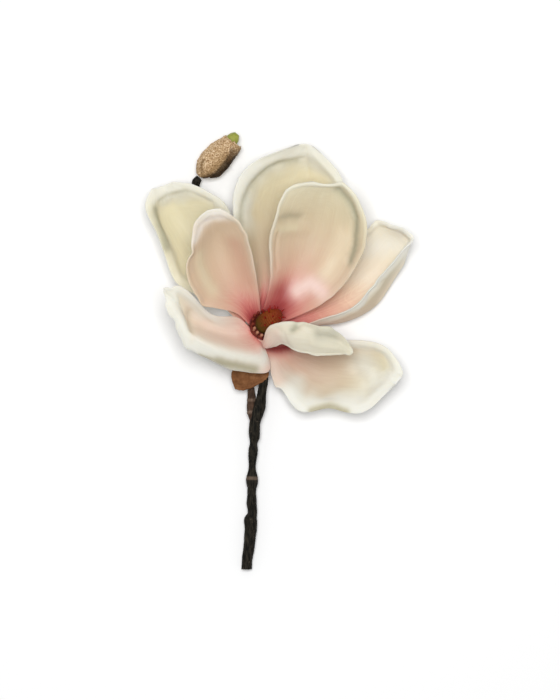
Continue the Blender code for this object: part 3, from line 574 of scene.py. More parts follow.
def add_petal(name, spec, seed, sizes, material):
    t = np.linspace(0, 1, PETAL_CELLS[0] + 1)
    s = np.linspace(-1, 1, PETAL_CELLS[1] + 1)
    u, v = t * (1.75 - 0.75 * t), 0.28 * s + 0.72 * np.sin(s * math.pi / 2)
    grid = lofted(petal_rows(spec), spec.get("across", THREE_GUIDES), u, v)
    uu, vv = np.meshgrid(u, v, indexing="ij")
    for place, radius, shift in spec.get("nudges", ()):
        grid = grid + np.array(shift) * hill(path_gap(grid, u, v, (place, place)), radius)[..., None]

    # The margin wanders a little from its even line.
    gap, spot = margin_distance(grid)
    sideways = unit(np.gradient(grid, axis=1))
    wander = ripple(grid, 7.0, seed) * 0.55 + ripple(grid, 2.6, seed + 3) * 0.2
    hold = smooth_step(0.1, 0.3, uu)[..., None]
    grid = grid + sideways * (wander * np.exp(-gap / 5) * sizes.margin_wander)[..., None] * hold

    gap, spot = margin_distance(grid)
    left, tip, right = spec["lip"]
    lip, high, pale = (
        eased(np.interp(spot, RIM_STATIONS, (a, a, b, b, b, c, c))) for a, b, c in zip(left, tip, right)
    )
    reach = gap / (lip * (1 + 0.25 * ripple(grid, 12.0, seed + 5)))
    swell = smooth_step(*spec.get("swell", LIP_FADE), uu)
    crest = hill(reach - LIP_CREST, LIP_SPREAD)
    roll = sizes.lip_roll * np.clip(1 - reach / LIP_CREST, 0, 1) ** 2
    groove = sizes.groove_depth * hill(reach - GROOVE_PLACE, GROOVE_SPREAD)
    lift = sizes.lip_height * high * (crest - roll - groove) * swell
    for path, width, height in spec["folds"]:
        lift += height * hill(path_gap(grid, u, v, path), width) * np.clip(gap / 3, 0, 1)
    lift += sizes.wave_height * ripple(grid, 20.0, seed + 7) * smooth_step(0.05, 0.3, uu)
    lift += sizes.streak_height * ripple(stacked(uu * 3.2, vv * 9.0, seed), 1.0, seed)
    fade = 1 - smooth_step(*LIP_PALE, reach + 0.25 * ripple(grid, 9.0, seed + 6))
    stains_and_painted_light = sheet_stains_and_painted_light(grid, u, v, spec["tints"], pale * swell * fade)
    grid = grid + normals_of(grid) * lift[..., None]

    round_off = np.sqrt(np.clip(1 - (1 - np.minimum(gap / sizes.edge_radius, 1)) ** 2, 0, 1))
    half = sizes.thickness / 2 * np.maximum(round_off, 0.06)
    return add_sheet(name + "_tissue", grid, half, stacked(uu, vv, reach), material, [name], stains_and_painted_light)


def tube_points(stations, sides, rings, shape=None):
    """Rings of points along stations of centre and radius; shape(place, turn) adds to the radius."""
    stations = np.array(stations, float)
    along = np.concatenate([[0], np.cumsum(np.linalg.norm(np.diff(stations[:, :3], axis=0), axis=1))])
    path = spline(along, stations, np.linspace(0, along[-1], rings))
    centre, radius = path[:, :3], path[:, 3]
    heading = unit(np.gradient(centre, axis=0))
    side = unit(np.cross(heading[0], (0.3, 0.1, 1.0)))
    turn = np.linspace(0, 2 * math.pi, sides, endpoint=False)
    points = np.empty((rings, sides, 3))
    for k in range(rings):
        side = unit(side - heading[k] * (side @ heading[k]))
        up = np.cross(heading[k], side)
        ray = np.cos(turn)[:, None] * side + np.sin(turn)[:, None] * up
        points[k] = centre[k] + radius[k] * ray
    if shape is not None:
        place, turns = np.meshgrid(np.linspace(0, 1, rings), turn, indexing="ij")
        outward = unit(points - centre[:, None])
        points = points + outward * shape(points, place, turns)[..., None]
    return points


def tube_faces(rings, sides):
    faces = [tuple(range(sides - 1, -1, -1)), tuple((rings - 1) * sides + k for k in range(sides))]
    for r in range(rings - 1):
        for k in range(sides):
            a, b = r * sides + k, r * sides + (k + 1) % sides
            faces.append((a, b, b + sides, a + sides))
    return faces


def tube_marks(rings, sides, stains_and_painted_light=()):
    """Place along and round a tube, and the colour and strength of the stains that ring it."""
    place, turn = np.meshgrid(np.linspace(0, 1, rings), np.arange(sides) / sides, indexing="ij")
    layers = (
        (depth * smooth_step(start - fade, start, place) * (1 - smooth_step(end, end + fade, place)), stain_and_painted_light)
        for start, end, fade, stain_and_painted_light, depth in stains_and_painted_light
    )
    return {
        "place": ("FLOAT_VECTOR", stacked(place, turn, 0)),
        "stain_and_painted_light": ("FLOAT_COLOR", laid_over(np.zeros((rings, sides, 3)), np.zeros((rings, sides)), layers)),
    }


def add_tube(name, stations, sides, rings, material, nodes, shape=None, stains_and_painted_light=()):
    points = tube_points(stations, sides, rings, shape).reshape(-1, 3)
    marks = tube_marks(rings, sides, stains_and_painted_light)
    return add_piece(name, points, tube_faces(rings, sides), material, nodes, marks)


# ---- materials ----

COLOUR, NUMBER, VECTOR = "NodeSocketColor", "NodeSocketFloat", "NodeSocketVector"
NO_SHADE = (1.0, 1.0, 1.0, 1.0)


def rgba(colour):
    return (*colour, 1.0)


def add_node(tree, kind, inputs=None, **settings):
    """A node with its settings; each input takes a value or the socket that feeds it."""
    node = tree.nodes.new(kind)
    for key, value in settings.items():
        setattr(node, key, value)
    for key, value in (inputs or {}).items():
        if isinstance(value, bpy.types.NodeSocket):
            tree.links.new(value, node.inputs[key])
        else:
            node.inputs[key].default_value = value
    return node


def mix_colour(tree, factor, first, second, blend="MIX"):
    inputs = {0: factor, 6: first, 7: second}
    return add_node(tree, "ShaderNodeMix", inputs, data_type="RGBA", blend_type=blend).outputs[2]


def maths(tree, operation, first, second=0.0):
    return add_node(tree, "ShaderNodeMath", {0: first, 1: second}, operation=operation).outputs[0]


def swing(tree, value, size):
    """Moves a noise value's middle to 0 and sizes it."""
    return maths(tree, "MULTIPLY", maths(tree, "SUBTRACT", value, 0.5), size)


def noise_of(tree, vector, scale, detail, roughness=0.5):
    inputs = {"Vector": vector, "Scale": scale, "Detail": detail, "Roughness": roughness}
    return add_node(tree, "ShaderNodeTexNoise", inputs).outputs[0]


def on_object(tree):
    return add_node(tree, "ShaderNodeTexCoord").outputs["Object"]


def attribute(tree, name):
    return add_node(tree, "ShaderNodeAttribute", attribute_name=name, attribute_type="GEOMETRY").outputs


def ramp(tree, factor, stops, smooth=True):
    node = add_node(tree, "ShaderNodeValToRGB", {"Fac": factor})
    elements = node.color_ramp.elements
    node.color_ramp.interpolation = "B_SPLINE" if smooth else "LINEAR"
    elements[0].position, elements[0].color = stops[0][0], rgba(stops[0][1])
    elements[1].position, elements[1].color = stops[-1][0], rgba(stops[-1][1])
    for place, colour in stops[1:-1]:
        elements.new(place).color = rgba(colour)
    return node.outputs["Color"]


def shade(tree, factor, low, dark, high, bright):
    """A grey that runs from dark to bright, to multiply a colour by."""
    return ramp(tree, factor, ((low, (dark,) * 3), (high, (bright,) * 3)), smooth=False)


def shared_group(name, kinds, build, inputs, tree):
    """Outputs of a shared node group placed in the tree; build fills the group the first time."""
    group = bpy.data.node_groups.get(name)
    if group is None:
        group = bpy.data.node_groups.new(name, "ShaderNodeTree")
        for label, kind in kinds.items():
            group.interface.new_socket(label, in_out="INPUT", socket_type=kind)
        results = build(group, group.nodes.new("NodeGroupInput").outputs)
        out = group.nodes.new("NodeGroupOutput")
        for label, socket in results.items():
            kind = COLOUR if socket.type == "RGBA" else NUMBER
            group.interface.new_socket(label, in_out="OUTPUT", socket_type=kind)
            group.links.new(socket, out.inputs[label])
    return add_node(tree, "ShaderNodeGroup", inputs, node_tree=group).outputs


def fill_petal_grain(tree, given):
    """Long fine veins and soft mottling, and the place along the petal as they bend it."""
    along, across = add_node(tree, "ShaderNodeSeparateXYZ", {"Vector": given["Place"]}).outputs[:2]
    fan = {0: maths(tree, "MULTIPLY", along, 2.4), 1: maths(tree, "MULTIPLY", across, given["Vein Count"])}
    veins = noise_of(tree, add_node(tree, "ShaderNodeCombineXYZ", fan).outputs[0], 1.0, 3.0, 0.6)
    mottle = noise_of(tree, given["Place"], 5.0, 4.0, 0.55)
    middle = maths(tree, "MULTIPLY", maths(tree, "POWER", maths(tree, "ABSOLUTE", across), 2.0), 0.08)
    moved = maths(tree, "ADD", maths(tree, "ADD", along, swing(tree, veins, 0.16)), swing(tree, mottle, 0.10))
    return {"Along": maths(tree, "ADD", moved, middle), "Veins": veins, "Mottle": mottle}


def fill_bark_grain(tree, given):
    """Fine lengthwise cracks, small pores and pale flecks."""
    place = on_object(tree)
    stretch = add_node(tree, "ShaderNodeMapping", {"Vector": place, "Scale": (1.0, 0.22, 1.0)})
    cracks = noise_of(tree, stretch.outputs[0], given["Crack Scale"], 5.0, 0.65)
    pores = add_node(tree, "ShaderNodeTexVoronoi", {"Vector": place, "Scale": 650.0}).outputs["Distance"]
    ring = {"Value": pores, "From Min": 0.10, "From Max": 0.28, "To Min": 1.0, "To Max": 0.0}
    fleck = add_node(tree, "ShaderNodeMapRange", ring).outputs[0]
    some = {"Value": noise_of(tree, place, 160.0, 2.0), "From Min": 0.52, "From Max": 0.66}
    patch = maths(tree, "MULTIPLY", fleck, add_node(tree, "ShaderNodeMapRange", some).outputs[0])
    height = maths(tree, "ADD", cracks, maths(tree, "MULTIPLY", fleck, 0.2))
    flecks = maths(tree, "MULTIPLY", patch, given["Fleck Amount"])
    return {"Cracks": cracks, "Flecks": flecks, "Height": height}


def fill_fibre_grain(tree, given):
    return {"Fibres": noise_of(tree, on_object(tree), given["Scale"], 6.0, 0.7)}


def fill_stain_and_painted_light(tree, given):
    """Stains, painted shade and painted highlights over the body's colour, darkened and lightened like the
    body.
    """
    tinted = mix_colour(tree, 1.0, given["Stain And Painted Light"], given["Shade"], "MULTIPLY")
    return {"Color": mix_colour(tree, given["Cover"], given["Body"], tinted)}


def with_stains_and_painted_light(tree, body, shading):
    own = attribute(tree, "stain_and_painted_light")
    inputs = {"Body": body, "Shade": shading, "Stain And Painted Light": own["Color"], "Cover": own["Alpha"]}
    kinds = {"Body": COLOUR, "Shade": COLOUR, "Stain And Painted Light": COLOUR, "Cover": NUMBER}
    return shared_group("Stain And Painted Light", kinds, fill_stain_and_painted_light, inputs, tree)[0]


def new_material(name, roughness, **surface):
    """A material with only its Principled BSDF; returns it, its tree and that node."""
    material = bpy.data.materials.new(name)
    material.use_nodes = True
    skin = material.node_tree.nodes["Principled BSDF"]
    for label, value in {"Roughness": roughness, **surface}.items():
        skin.inputs[label.replace("_", " ")].default_value = value
    return material, material.node_tree, skin


def finish_skin(tree, skin, colour, height, distance, strength):
    """Gives the skin its colour, and relief from a bump of the height, deep as the distance in metres."""
    tree.links.new(colour, skin.inputs["Base Color"])
    relief = add_node(tree, "ShaderNodeBump", {"Height": height, "Distance": distance, "Strength": strength})
    tree.links.new(relief.outputs[0], skin.inputs["Normal"])


def petal_material(name, spec):
    material, tree, skin = new_material(name, 0.55, Sheen_Weight=0.05, Specular_IOR_Level=0.35,
                                        Subsurface_Weight=0.6, Subsurface_Scale=0.003,
                                        Subsurface_Radius=(1.0, 0.9, 0.75))
    inputs = {"Place": attribute(tree, "place")["Vector"], "Vein Count": 26.0}
    kinds = {"Place": VECTOR, "Vein Count": NUMBER}
    grain = shared_group("Petal Grain", kinds, fill_petal_grain, inputs, tree)
    inside, outside = (ramp(tree, grain["Along"], spec[side]) for side in ("face", "back"))
    # the petal's tints lie over its face and back colours, painted shade and painted highlights among them
    colour = with_stains_and_painted_light(tree, mix_colour(tree, attribute(tree, "face")["Fac"], outside, inside), NO_SHADE)
    mottled = ramp(tree, grain["Mottle"], ((0.3, (0.95, 0.95, 0.94)), (0.7, (1.0, 1.0, 1.0))))
    colour = mix_colour(tree, 1.0, colour, mottled, "MULTIPLY")
    veined = ramp(tree, grain["Veins"], ((0.3, (0.95, 0.93, 0.92)), (0.6, (1.0, 1.0, 1.0))))
    colour = mix_colour(tree, 0.35, colour, veined, "MULTIPLY")
    finish_skin(tree, skin, colour, grain["Veins"], 0.0002, 0.12)
    return material


def bark_material(name, dark, light, fleck):
    material, tree, skin = new_material(name, 0.62, Specular_IOR_Level=0.08)
    grain = shared_group("Bark Grain", {"Crack Scale": NUMBER, "Fleck Amount": NUMBER}, fill_bark_grain,
                         {"Crack Scale": 900.0, "Fleck Amount": 0.55}, tree)
    body = ramp(tree, grain["Cracks"], ((0.42, dark), (0.76, light)), smooth=False)
    body = with_stains_and_painted_light(tree, body, shade(tree, grain["Cracks"], 0.3, 0.35, 0.72, 1.5))
    colour = mix_colour(tree, grain["Flecks"], body, rgba(fleck))
    finish_skin(tree, skin, colour, grain["Height"], 0.0006, 0.8)
    return material


def papery_material(name, stops, fine, roughness, depth):
    """Dry scale or bract tissue: dark in its wrinkles and pale on its fibres."""
    material, tree, skin = new_material(name, roughness, Specular_IOR_Level=0.12)
    fibres = shared_group("Fibre Grain", {"Scale": NUMBER}, fill_fibre_grain, {"Scale": fine}, tree)[0]
    body = ramp(tree, fibres, stops, smooth=False)
    # over the body lie the mesh's stains; on the bud's scales these are painted shade
    colour = with_stains_and_painted_light(tree, body, shade(tree, fibres, 0.34, 0.4, 0.64, 1.4))
    finish_skin(tree, skin, colour, fibres, depth, 0.9)
    return material


# ---- settings that a user would change ----


class MagnoliaPetals(PropertyGroup):
    thickness: FloatProperty(name="Thickness", description="Thickness of a petal in millimetres",
                             default=0.95, min=0.4, max=2.0)
    edge_radius: FloatProperty(name="Edge Radius", description="How far in the margin is rounded off",
                               default=0.75, min=0.2, max=3.0)
    lip_height: FloatProperty(name="Lip Height", description="Share of the full height of the rolled lips",
                              default=1.0, min=0.0, max=3.0)
    lip_roll: FloatProperty(name="Lip Roll", description="Drop of the margin, as a share of the lip's height",
                            default=1.2, min=0.0, max=4.0)
    groove_depth: FloatProperty(name="Groove Depth", description="Depth of the groove inside the lip",
                                default=0.45, min=0.0, max=2.0)
    wave_height: FloatProperty(name="Wave Height", description="Height of the broad waves of a petal",
                               default=0.7, min=0.0, max=3.0)
    streak_height: FloatProperty(name="Streak Height", description="Height of the lengthwise streaks",
                                 default=0.08, min=0.0, max=1.0)
    margin_wander: FloatProperty(name="Margin Wander", description="How far a margin strays from even",
                                 default=1.0, min=0.0, max=3.0)


class MagnoliaHeart(PropertyGroup):
    cone_green: FloatVectorProperty(name="Cone Green", description="Colour of the pistil cone's foot",
                                    subtype="COLOR", default=(0.060, 0.050, 0.008))
    cone_brown: FloatVectorProperty(name="Cone Brown", description="Colour of the pistil cone's body",
                                    subtype="COLOR", default=(0.13, 0.030, 0.006))
    style_red: FloatVectorProperty(name="Style Red", description="Colour of the curled styles",
                                   subtype="COLOR", default=(0.44, 0.020, 0.010))
    stamen_peach: FloatVectorProperty(name="Stamen Peach", description="Colour of the stamens",
                                      subtype="COLOR", default=(0.55, 0.26, 0.16))
    style_length: FloatProperty(name="Style Length", description="Length of a curled style in millimetres",
                                default=3.4, min=1.0, max=8.0)
    stamen_length: FloatProperty(name="Stamen Length", description="Length of a stamen in millimetres",
                                 default=4.6, min=1.0, max=12.0)


class MagnoliaWood(PropertyGroup):
    bark_dark: FloatVectorProperty(name="Bark Dark", description="Colour in the cracks of the bark",
                                   subtype="COLOR", default=(0.004, 0.004, 0.003))
    bark_light: FloatVectorProperty(name="Bark Light", description="Colour of the bark's ridges",
                                    subtype="COLOR", default=(0.046, 0.038, 0.027))
    knot_height: FloatProperty(name="Bark Relief", description="Height of the bark's relief in millimetres",
                               default=0.22, min=0.0, max=1.0)


class MagnoliaStage(PropertyGroup):
    camera_height: FloatProperty(name="Camera Height", description="Height of the camera above the table",
                                 default=2.0, unit="LENGTH")
    picture_height: FloatProperty(name="Picture Height", description="Height of the view at the flower",
                                  default=0.399, unit="LENGTH")
    key_power: FloatProperty(name="Key Power", description="Power of the large soft light", default=34.0,
                             unit="POWER")
    fill: FloatProperty(name="Fill", description="Strength of the light from all round", default=0.32)
    floor_colour: FloatVectorProperty(name="Table Colour", description="Colour of the pale table",
                                      subtype="COLOR", default=(0.95, 0.95, 0.95))


# ---- operators, one for each piece or group of like pieces ----


class MAGNOLIA_OT_petals(Operator):
    """Add the eight petals, each with a rolled lip, soft folds and its own blush."""

    bl_idname = "magnolia.petals"
    bl_label = "Add Petals"

    def execute(self, context):
        sizes = context.scene.magnolia_petals
        for seed, (name, spec) in enumerate(PETALS.items(), start=1):
            add_petal(name, spec, seed, sizes, petal_material(name, spec))
        return {"FINISHED"}


class MAGNOLIA_OT_branch(Operator):
    """Add the bark of the stem and its side twig, grown together."""

    bl_idname = "magnolia.branch"
    bl_label = "Add Branch"

    def execute(self, context):
        wood = context.scene.magnolia_wood

        def bark(points, place, turns):
            return wood.knot_height * (ripple(points * (1, 0.3, 1), 1.5, 11) + 0.6 * ripple(points, 0.7, 12))

        def stem_shape(points, place, turns):
            return bark(points, place, turns) - sum(d * hill(place - at, 0.0025) for at, d in STEM_SCARS)

        def twig_shape(points, place, turns):
            return 0.7 * bark(points, place, turns) + sum(d * hill(place - at, 0.003) for at, d in TWIG_SCARS)

        material = bark_material("bark", wood.bark_dark, wood.bark_light, (0.16, 0.12, 0.09))
        head = [(*cup_point(angle, out, height), radius) for angle, out, height, radius in RECEPTACLE]
        stem = add_tube("branch_bark", (*STEM, *head), 40, 420, material, ["branch"], stem_shape,
                        STEM_STAINS)
        twig = tube_points(TWIG, TWIG_SIDES, TWIG_RINGS, twig_shape).reshape(-1, 3)
        helper = bpy.data.meshes.new("twig_helper")
        helper.from_pydata(((twig + HEART) * MM).tolist(), [], tube_faces(TWIG_RINGS, TWIG_SIDES))
        grown = add_object("twig_helper", helper)
        union = stem.modifiers.new("grow_twig", "BOOLEAN")
        union.operation, union.solver, union.object = "UNION", "EXACT", grown
        bake_modifiers(stem)
        bpy.data.objects.remove(grown, do_unlink=True)
        stain_twig(stem.data)
        stem.data.polygons.foreach_set("use_smooth", [True] * len(stem.data.polygons))
        return {"FINISHED"}


def stain_twig(mesh):
    """Gives the twig's part of the grown mesh its own colours, by distance from the twig's centre line."""
    points = np.empty(len(mesh.vertices) * 3)
    mesh.vertices.foreach_get("co", points)
    points = points.reshape(-1, 3) / MM - HEART
    line, stem = (tube_points(path, 3, TWIG_RINGS).mean(axis=1) for path in (TWIG, STEM))
    gap = np.linalg.norm(points[:, None] - line, axis=2)
    place = gap.argmin(axis=1)
    to_stem = np.linalg.norm(points[:, None] - stem, axis=2).min(axis=1)
    near = gap.min(axis=1) < np.minimum(TWIG_REACH, to_stem)
    own = tube_marks(TWIG_RINGS, 1, TWIG_STAINS)["stain_and_painted_light"][1][:, 0]
    layer = mesh.attributes["stain_and_painted_light"]
    colours = np.empty(len(mesh.vertices) * 4, np.float32)
    layer.data.foreach_get("color", colours)
    colours = np.where(near[:, None], own[place], colours.reshape(-1, 4))
    layer.data.foreach_set("color", colours.ravel())


def bake_modifiers(obj):
    """Puts the object's evaluated mesh in place of its modifiers."""
    graph = bpy.context.evaluated_depsgraph_get()
    mesh = bpy.data.meshes.new_from_object(obj.evaluated_get(graph))
    obj.modifiers.clear()
    obj.data = mesh


def cone_point(h):
    """A point on the pistil cone's curved centre line, h from 0 at the foot to 1 at the tip."""
    foot = cup_point(0, 0, CONE_FOOT)
    bend = cup_point(0, 0, CONE_FOOT + 0.4 * CONE_LENGTH)
    tip = foot + CONE_LENGTH * unit(CONE_AXIS)
    return foot * (1 - h) ** 2 + bend * 2 * h * (1 - h) + tip * h**2


class MAGNOLIA_OT_cone(Operator):
    """Add the pistil cone, green at its foot and brown with small bosses above."""

    bl_idname = "magnolia.cone"
    bl_label = "Add Pistil Cone"

    def execute(self, context):
        heart = context.scene.magnolia_heart

        def bosses(points, place, turns):
            spiral = np.sin(turns * 8 + place * 46) * np.sin(turns * 5 - place * 40)
            return 0.32 * spiral * smooth_step(0.15, 0.4, place) + 0.12 * ripple(points, 0.9, 4)

        material, tree, skin = new_material("pistil", 0.55, Specular_IOR_Level=0.08)
        place = attribute(tree, "place")["Vector"]
        height = add_node(tree, "ShaderNodeSeparateXYZ", {"Vector": place}).outputs[0]
        grain = noise_of(tree, on_object(tree), 700.0, 4.0)
        moved = maths(tree, "ADD", height, swing(tree, grain, 0.5))
        colour = ramp(tree, moved, ((0.12, tuple(heart.cone_green)), (0.42, tuple(heart.cone_brown)),
                                    (0.7, (0.24, 0.055, 0.010)), (1.0, (0.16, 0.016, 0.006))))
        finish_skin(tree, skin, colour, grain, 0.0004, 0.8)
        cone = [(*cone_point(h), r) for h, r in CONE_PROFILE]
        add_tube("pistil_cone_body", cone, 72, 90, material, ["pistil_cone"], bosses)
        return {"FINISHED"}


class MAGNOLIA_OT_styles(Operator):
    """Add the curled dark red styles in a spiral over the upper part of the cone."""

    bl_idname = "magnolia.styles"
    bl_label = "Add Styles"

    def execute(self, context):
        heart = context.scene.magnolia_heart
        material = papery_material("style", ((0.3, (0.06, 0.004, 0.006)), (0.7, tuple(heart.style_red))),
                                   900.0, 0.45, 0.0002)
        places, radii = zip(*CONE_PROFILE)
        for k in range(STYLE_COUNT):
            h = STYLE_SPAN[0] + (STYLE_SPAN[1] - STYLE_SPAN[0]) * (k + 0.5) / STYLE_COUNT
            heading = unit(cone_point(h + 0.02) - cone_point(h - 0.02))
            side = unit(np.cross(heading, (0, 0, 1)))
            turn = math.radians(STYLE_TURN * k)
            out = math.cos(turn) * side + math.sin(turn) * np.cross(heading, side)
            foot = cone_point(h) + out * (np.interp(h, places, radii) - 0.2)
            stations = []
            for t, r in ((0.0, 0.5), (0.3, 0.44), (0.6, 0.34), (0.85, 0.22), (1.0, 0.08)):
                reach = heart.style_length * (0.75 * t * out + t * (1.1 - 0.75 * t) * heading)
                stations.append((*(foot + reach), r))
            add_tube(f"style_{k + 1:02d}_curl", stations, 10, 14, material, [f"style_{k + 1:02d}"])
        return {"FINISHED"}


class MAGNOLIA_OT_stamens(Operator):
    """Add the short blunt stamens round the foot of the cone."""

    bl_idname = "magnolia.stamens"
    bl_label = "Add Stamens"

    def execute(self, context):
        heart = context.scene.magnolia_heart
        peach = tuple(heart.stamen_peach)
        pale = papery_material("stamen", ((0.3, tuple(0.55 * c for c in peach)), (0.65, peach)),
                               500.0, 0.5, 0.0002)
        dull = papery_material("stamen_dull", ((0.3, (0.10, 0.012, 0.01)), (0.65, (0.22, 0.04, 0.022))),
                               500.0, 0.5, 0.0002)
        for k in range(STAMEN_COUNT):
            angle = 360 * k / STAMEN_COUNT
            side = math.cos(math.radians(angle - STAMEN_LEAN_SIDE))
            lean = math.radians(STAMEN_LEAN + STAMEN_LEAN_CHANGE * side)
            length = heart.stamen_length * (0.94 + 0.06 * math.sin(2.3 * k))
            stations = []
            for t, r in ((0.0, 0.6), (0.25, 0.72), (0.6, 0.84), (0.88, 0.74), (1.0, 0.3)):
                out = STAMEN_RING + length * t * math.sin(lean)
                stations.append((*cup_point(angle, out, CONE_FOOT + length * t * math.cos(lean)), r))
            material = pale if STAMEN_PALE[0] < angle < STAMEN_PALE[1] else dull
            add_tube(f"stamen_{k + 1:02d}_anther", stations, 14, 18, material,
                     [f"stamen_{k + 1:02d}"])
        return {"FINISHED"}


def bud_frame():
    """Unit vectors along the bud, to its right in plan, and upwards from it."""
    axis = unit(BUD_TIP - BUD_FOOT)
    right = unit(np.cross(axis, (0, 0, 1)))
    return axis, right, np.cross(right, axis)


def add_bud_scale(name, node, stations, seed, material, tuck=0.0, stains_and_painted_light=()):
    """A rough scale of the bud; tuck turns its two long edges in, as degrees past their stations."""
    axis, right, up = bud_frame()
    rows = []
    edge = np.linspace(-1, 1, 7)
    for at, radius, first, last in stations:
        turns = np.radians((first + last) / 2 - edge * ((last - first) / 2 + tuck))[:, None]
        rays = np.cos(turns) * right + np.sin(turns) * up
        reach = radius * (1 - (0.24 if tuck else 0) * abs(edge) ** 4)[:, None]
        rows.append(BUD_FOOT + at * (BUD_TIP - BUD_FOOT) + reach * rays)
    u, v = np.linspace(0, 1, 90), np.linspace(-1, 1, 150)
    grid = lofted(rows, edge, u, v)
    uu, vv = np.meshgrid(u, v, indexing="ij")
    lift = 0.3 * ripple(stacked(uu * 5, vv * 16, seed), 1.0, seed) + 0.3 * ripple(grid, 0.9, seed + 1)
    lift += 0.55 * ripple(grid, 4.0, seed + 2)
    ragged = 0.8 * ripple(stacked(vv * 9, 0, 0), 1.0, seed + 4) * smooth_step(0.8, 1, uu)
    grid = grid - normals_of(grid) * lift[..., None] + axis * ragged[..., None]
    rim = np.minimum(np.minimum(1 - abs(vv), (1 - uu) * 2), 0.05) / 0.05
    half = 0.42 * np.maximum(np.sqrt(np.clip(rim, 0, 1)), 0.15)
    # the scale's dark patches, painted shade of the seam and the inner scale, lie over its colour as a
    # sheet's stains
    stains_and_painted_light = sheet_stains_and_painted_light(grid, u, v, stains_and_painted_light, np.zeros_like(uu))
    return add_sheet(name, grid, half, stacked(uu, vv, lift), material, [node], stains_and_painted_light)


class MAGNOLIA_OT_bud(Operator):
    """Add the closed bud: two rough brown scales and the green tip between them."""

    bl_idname = "magnolia.bud"
    bl_label = "Add Bud"

    def execute(self, context):
        scale = papery_material("bud_scale", ((0.34, (0.16, 0.075, 0.028)), (0.44, (0.40, 0.24, 0.11)),
                                              (0.53, (0.62, 0.43, 0.25)), (0.64, (0.98, 0.80, 0.56))),
                                1300.0, 0.6, 0.0005)
        add_bud_scale("bud_scale_outer_hide", "bud_scale_outer", BUD_OUTER_STATIONS, 21, scale,
                      stains_and_painted_light=BUD_OUTER_PAINTED_SHADE)
        add_bud_scale("bud_scale_inner_hide", "bud_scale_inner", BUD_INNER_STATIONS, 27, scale, BUD_TUCK,
                      BUD_INNER_PAINTED_SHADE)
        green = papery_material("bud_green", ((0.3, (0.20, 0.23, 0.03)), (0.7, (0.42, 0.42, 0.10))),
                                260.0, 0.45, 0.0002)
        tip = [(*(BUD_FOOT + at * (BUD_TIP - BUD_FOOT)), radius) for at, radius in BUD_TIP_STATIONS]

        def ribs(points, place, turns):
            return 0.12 * np.sin(turns * 5) * smooth_step(0.5, 0.9, place) + 0.08 * ripple(points, 1.6, 5)

        add_tube("bud_tip_green", tip, 48, 70, green, ["bud_tip"], ribs)
        return {"FINISHED"}


class MAGNOLIA_OT_bract(Operator):
    """Add the papery bract under the flower, wrinkled and ragged at its edge."""

    bl_idname = "magnolia.bract"
    bl_label = "Add Bract"

    def execute(self, context):
        material = papery_material("bract", ((0.3, (0.12, 0.045, 0.016)), (0.55, (0.21, 0.087, 0.033)),
                                             (0.75, (0.29, 0.14, 0.06))), 300.0, 0.65, 0.0003)
        u, v = np.linspace(0, 1, 70), np.linspace(-1, 1, 60)
        grid = lofted(BRACT, THREE_GUIDES, u, v)
        uu, vv = np.meshgrid(u, v, indexing="ij")
        lift = 0.5 * ripple(grid, 5.0, 31) + 0.25 * ripple(stacked(uu * 2, vv * 8, 0), 1.0, 32)
        ragged = 0.7 * ripple(stacked(uu * 14, vv * 2, 0), 1.0, 33)
        sideways = unit(np.gradient(grid, axis=1))
        grid = grid + normals_of(grid) * lift[..., None]
        grid = grid + sideways * (ragged * smooth_step(0.6, 1, abs(vv)))[..., None]
        edge = np.minimum(np.minimum(1 - abs(vv), np.minimum(uu, 1 - uu) * 2), 0.08) / 0.08
        half = 0.35 * np.maximum(np.sqrt(edge), 0.15)
        place = stacked(uu, vv, lift)
        add_sheet("flower_bract_paper", grid, half, place, material, ["flower_bract"])
        return {"FINISHED"}


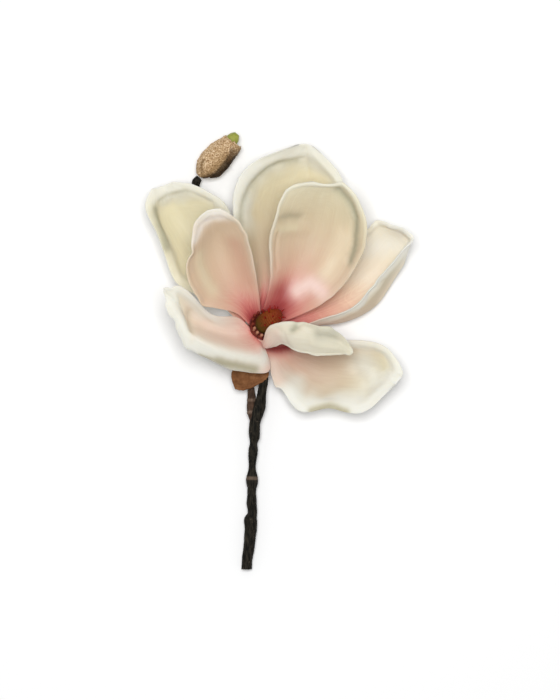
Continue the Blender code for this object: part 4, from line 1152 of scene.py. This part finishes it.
class MAGNOLIA_OT_stage(Operator):
    """Add the pale table, the soft lights and the camera that looks down on the branch."""

    bl_idname = "magnolia.stage"
    bl_label = "Add Stage"

    def execute(self, context):
        settings = context.scene.magnolia_stage
        scene = context.scene
        mesh = bpy.data.meshes.new("table")
        corners = [(x * TABLE_REACH, y * TABLE_REACH, 0) for x, y in ((-1, -1), (1, -1), (1, 1), (-1, 1))]
        mesh.from_pydata(corners, [], [(0, 1, 2, 3)])
        mesh.materials.append(new_material("table", 0.8, Base_Color=rgba(settings.floor_colour),
                                           Specular_IOR_Level=0.1)[0])
        table = add_object("table", mesh)

        world = bpy.data.worlds.new("studio")
        scene.world = world
        world.use_nodes = True
        sky = world.node_tree.nodes["Background"]
        sky.inputs["Color"].default_value = NO_SHADE
        sky.inputs["Strength"].default_value = settings.fill

        lamp = bpy.data.lights.new("soft_box", "AREA")
        lamp.shape, lamp.size, lamp.energy = "SQUARE", LAMP_SIZE, settings.key_power
        box = add_object("soft_box", lamp)
        box.location = LAMP_PLACE
        box.rotation_euler = (-Vector(box.location)).to_track_quat("-Z", "Y").to_euler()

        camera = add_object("camera", bpy.data.cameras.new("camera"))
        middle = (CAD_LOW + CAD_HIGH) / 2
        camera.location = (middle.x + CAMERA_AIM[0], middle.y + CAMERA_AIM[1], settings.camera_height)
        height = settings.camera_height - PICTURE_PLANE
        camera.data.lens = camera.data.sensor_width * height / settings.picture_height
        camera.data.clip_end = 20
        scene.camera = camera
        scene.view_settings.view_transform = "Standard"
        return {"FINISHED"}


PIECES = (MAGNOLIA_OT_petals, MAGNOLIA_OT_branch, MAGNOLIA_OT_cone, MAGNOLIA_OT_styles, MAGNOLIA_OT_stamens,
          MAGNOLIA_OT_bud, MAGNOLIA_OT_bract, MAGNOLIA_OT_stage)


class MAGNOLIA_PT_panel(Panel):
    """Buttons for every piece of the branch."""

    bl_label = "Magnolia Branch"
    bl_idname = "MAGNOLIA_PT_panel"
    bl_space_type = "VIEW_3D"
    bl_region_type = "UI"
    bl_category = "Magnolia"

    def draw(self, context):
        for piece in PIECES:
            self.layout.operator(piece.bl_idname)


SETTINGS = (("magnolia_petals", MagnoliaPetals), ("magnolia_heart", MagnoliaHeart),
            ("magnolia_wood", MagnoliaWood), ("magnolia_stage", MagnoliaStage))


def register():
    for label, group in SETTINGS:
        bpy.utils.register_class(group)
        setattr(bpy.types.Scene, label, PointerProperty(type=group))
    for piece in (*PIECES, MAGNOLIA_PT_panel):
        bpy.utils.register_class(piece)


def unregister():
    for piece in reversed((*PIECES, MAGNOLIA_PT_panel)):
        bpy.utils.unregister_class(piece)
    for label, group in reversed(SETTINGS):
        delattr(bpy.types.Scene, label)
        bpy.utils.unregister_class(group)


def main():
    register()
    for piece in PIECES:
        family, action = piece.bl_idname.split(".")
        getattr(getattr(bpy.ops, family), action)()


if __name__ == "__main__":
    main()
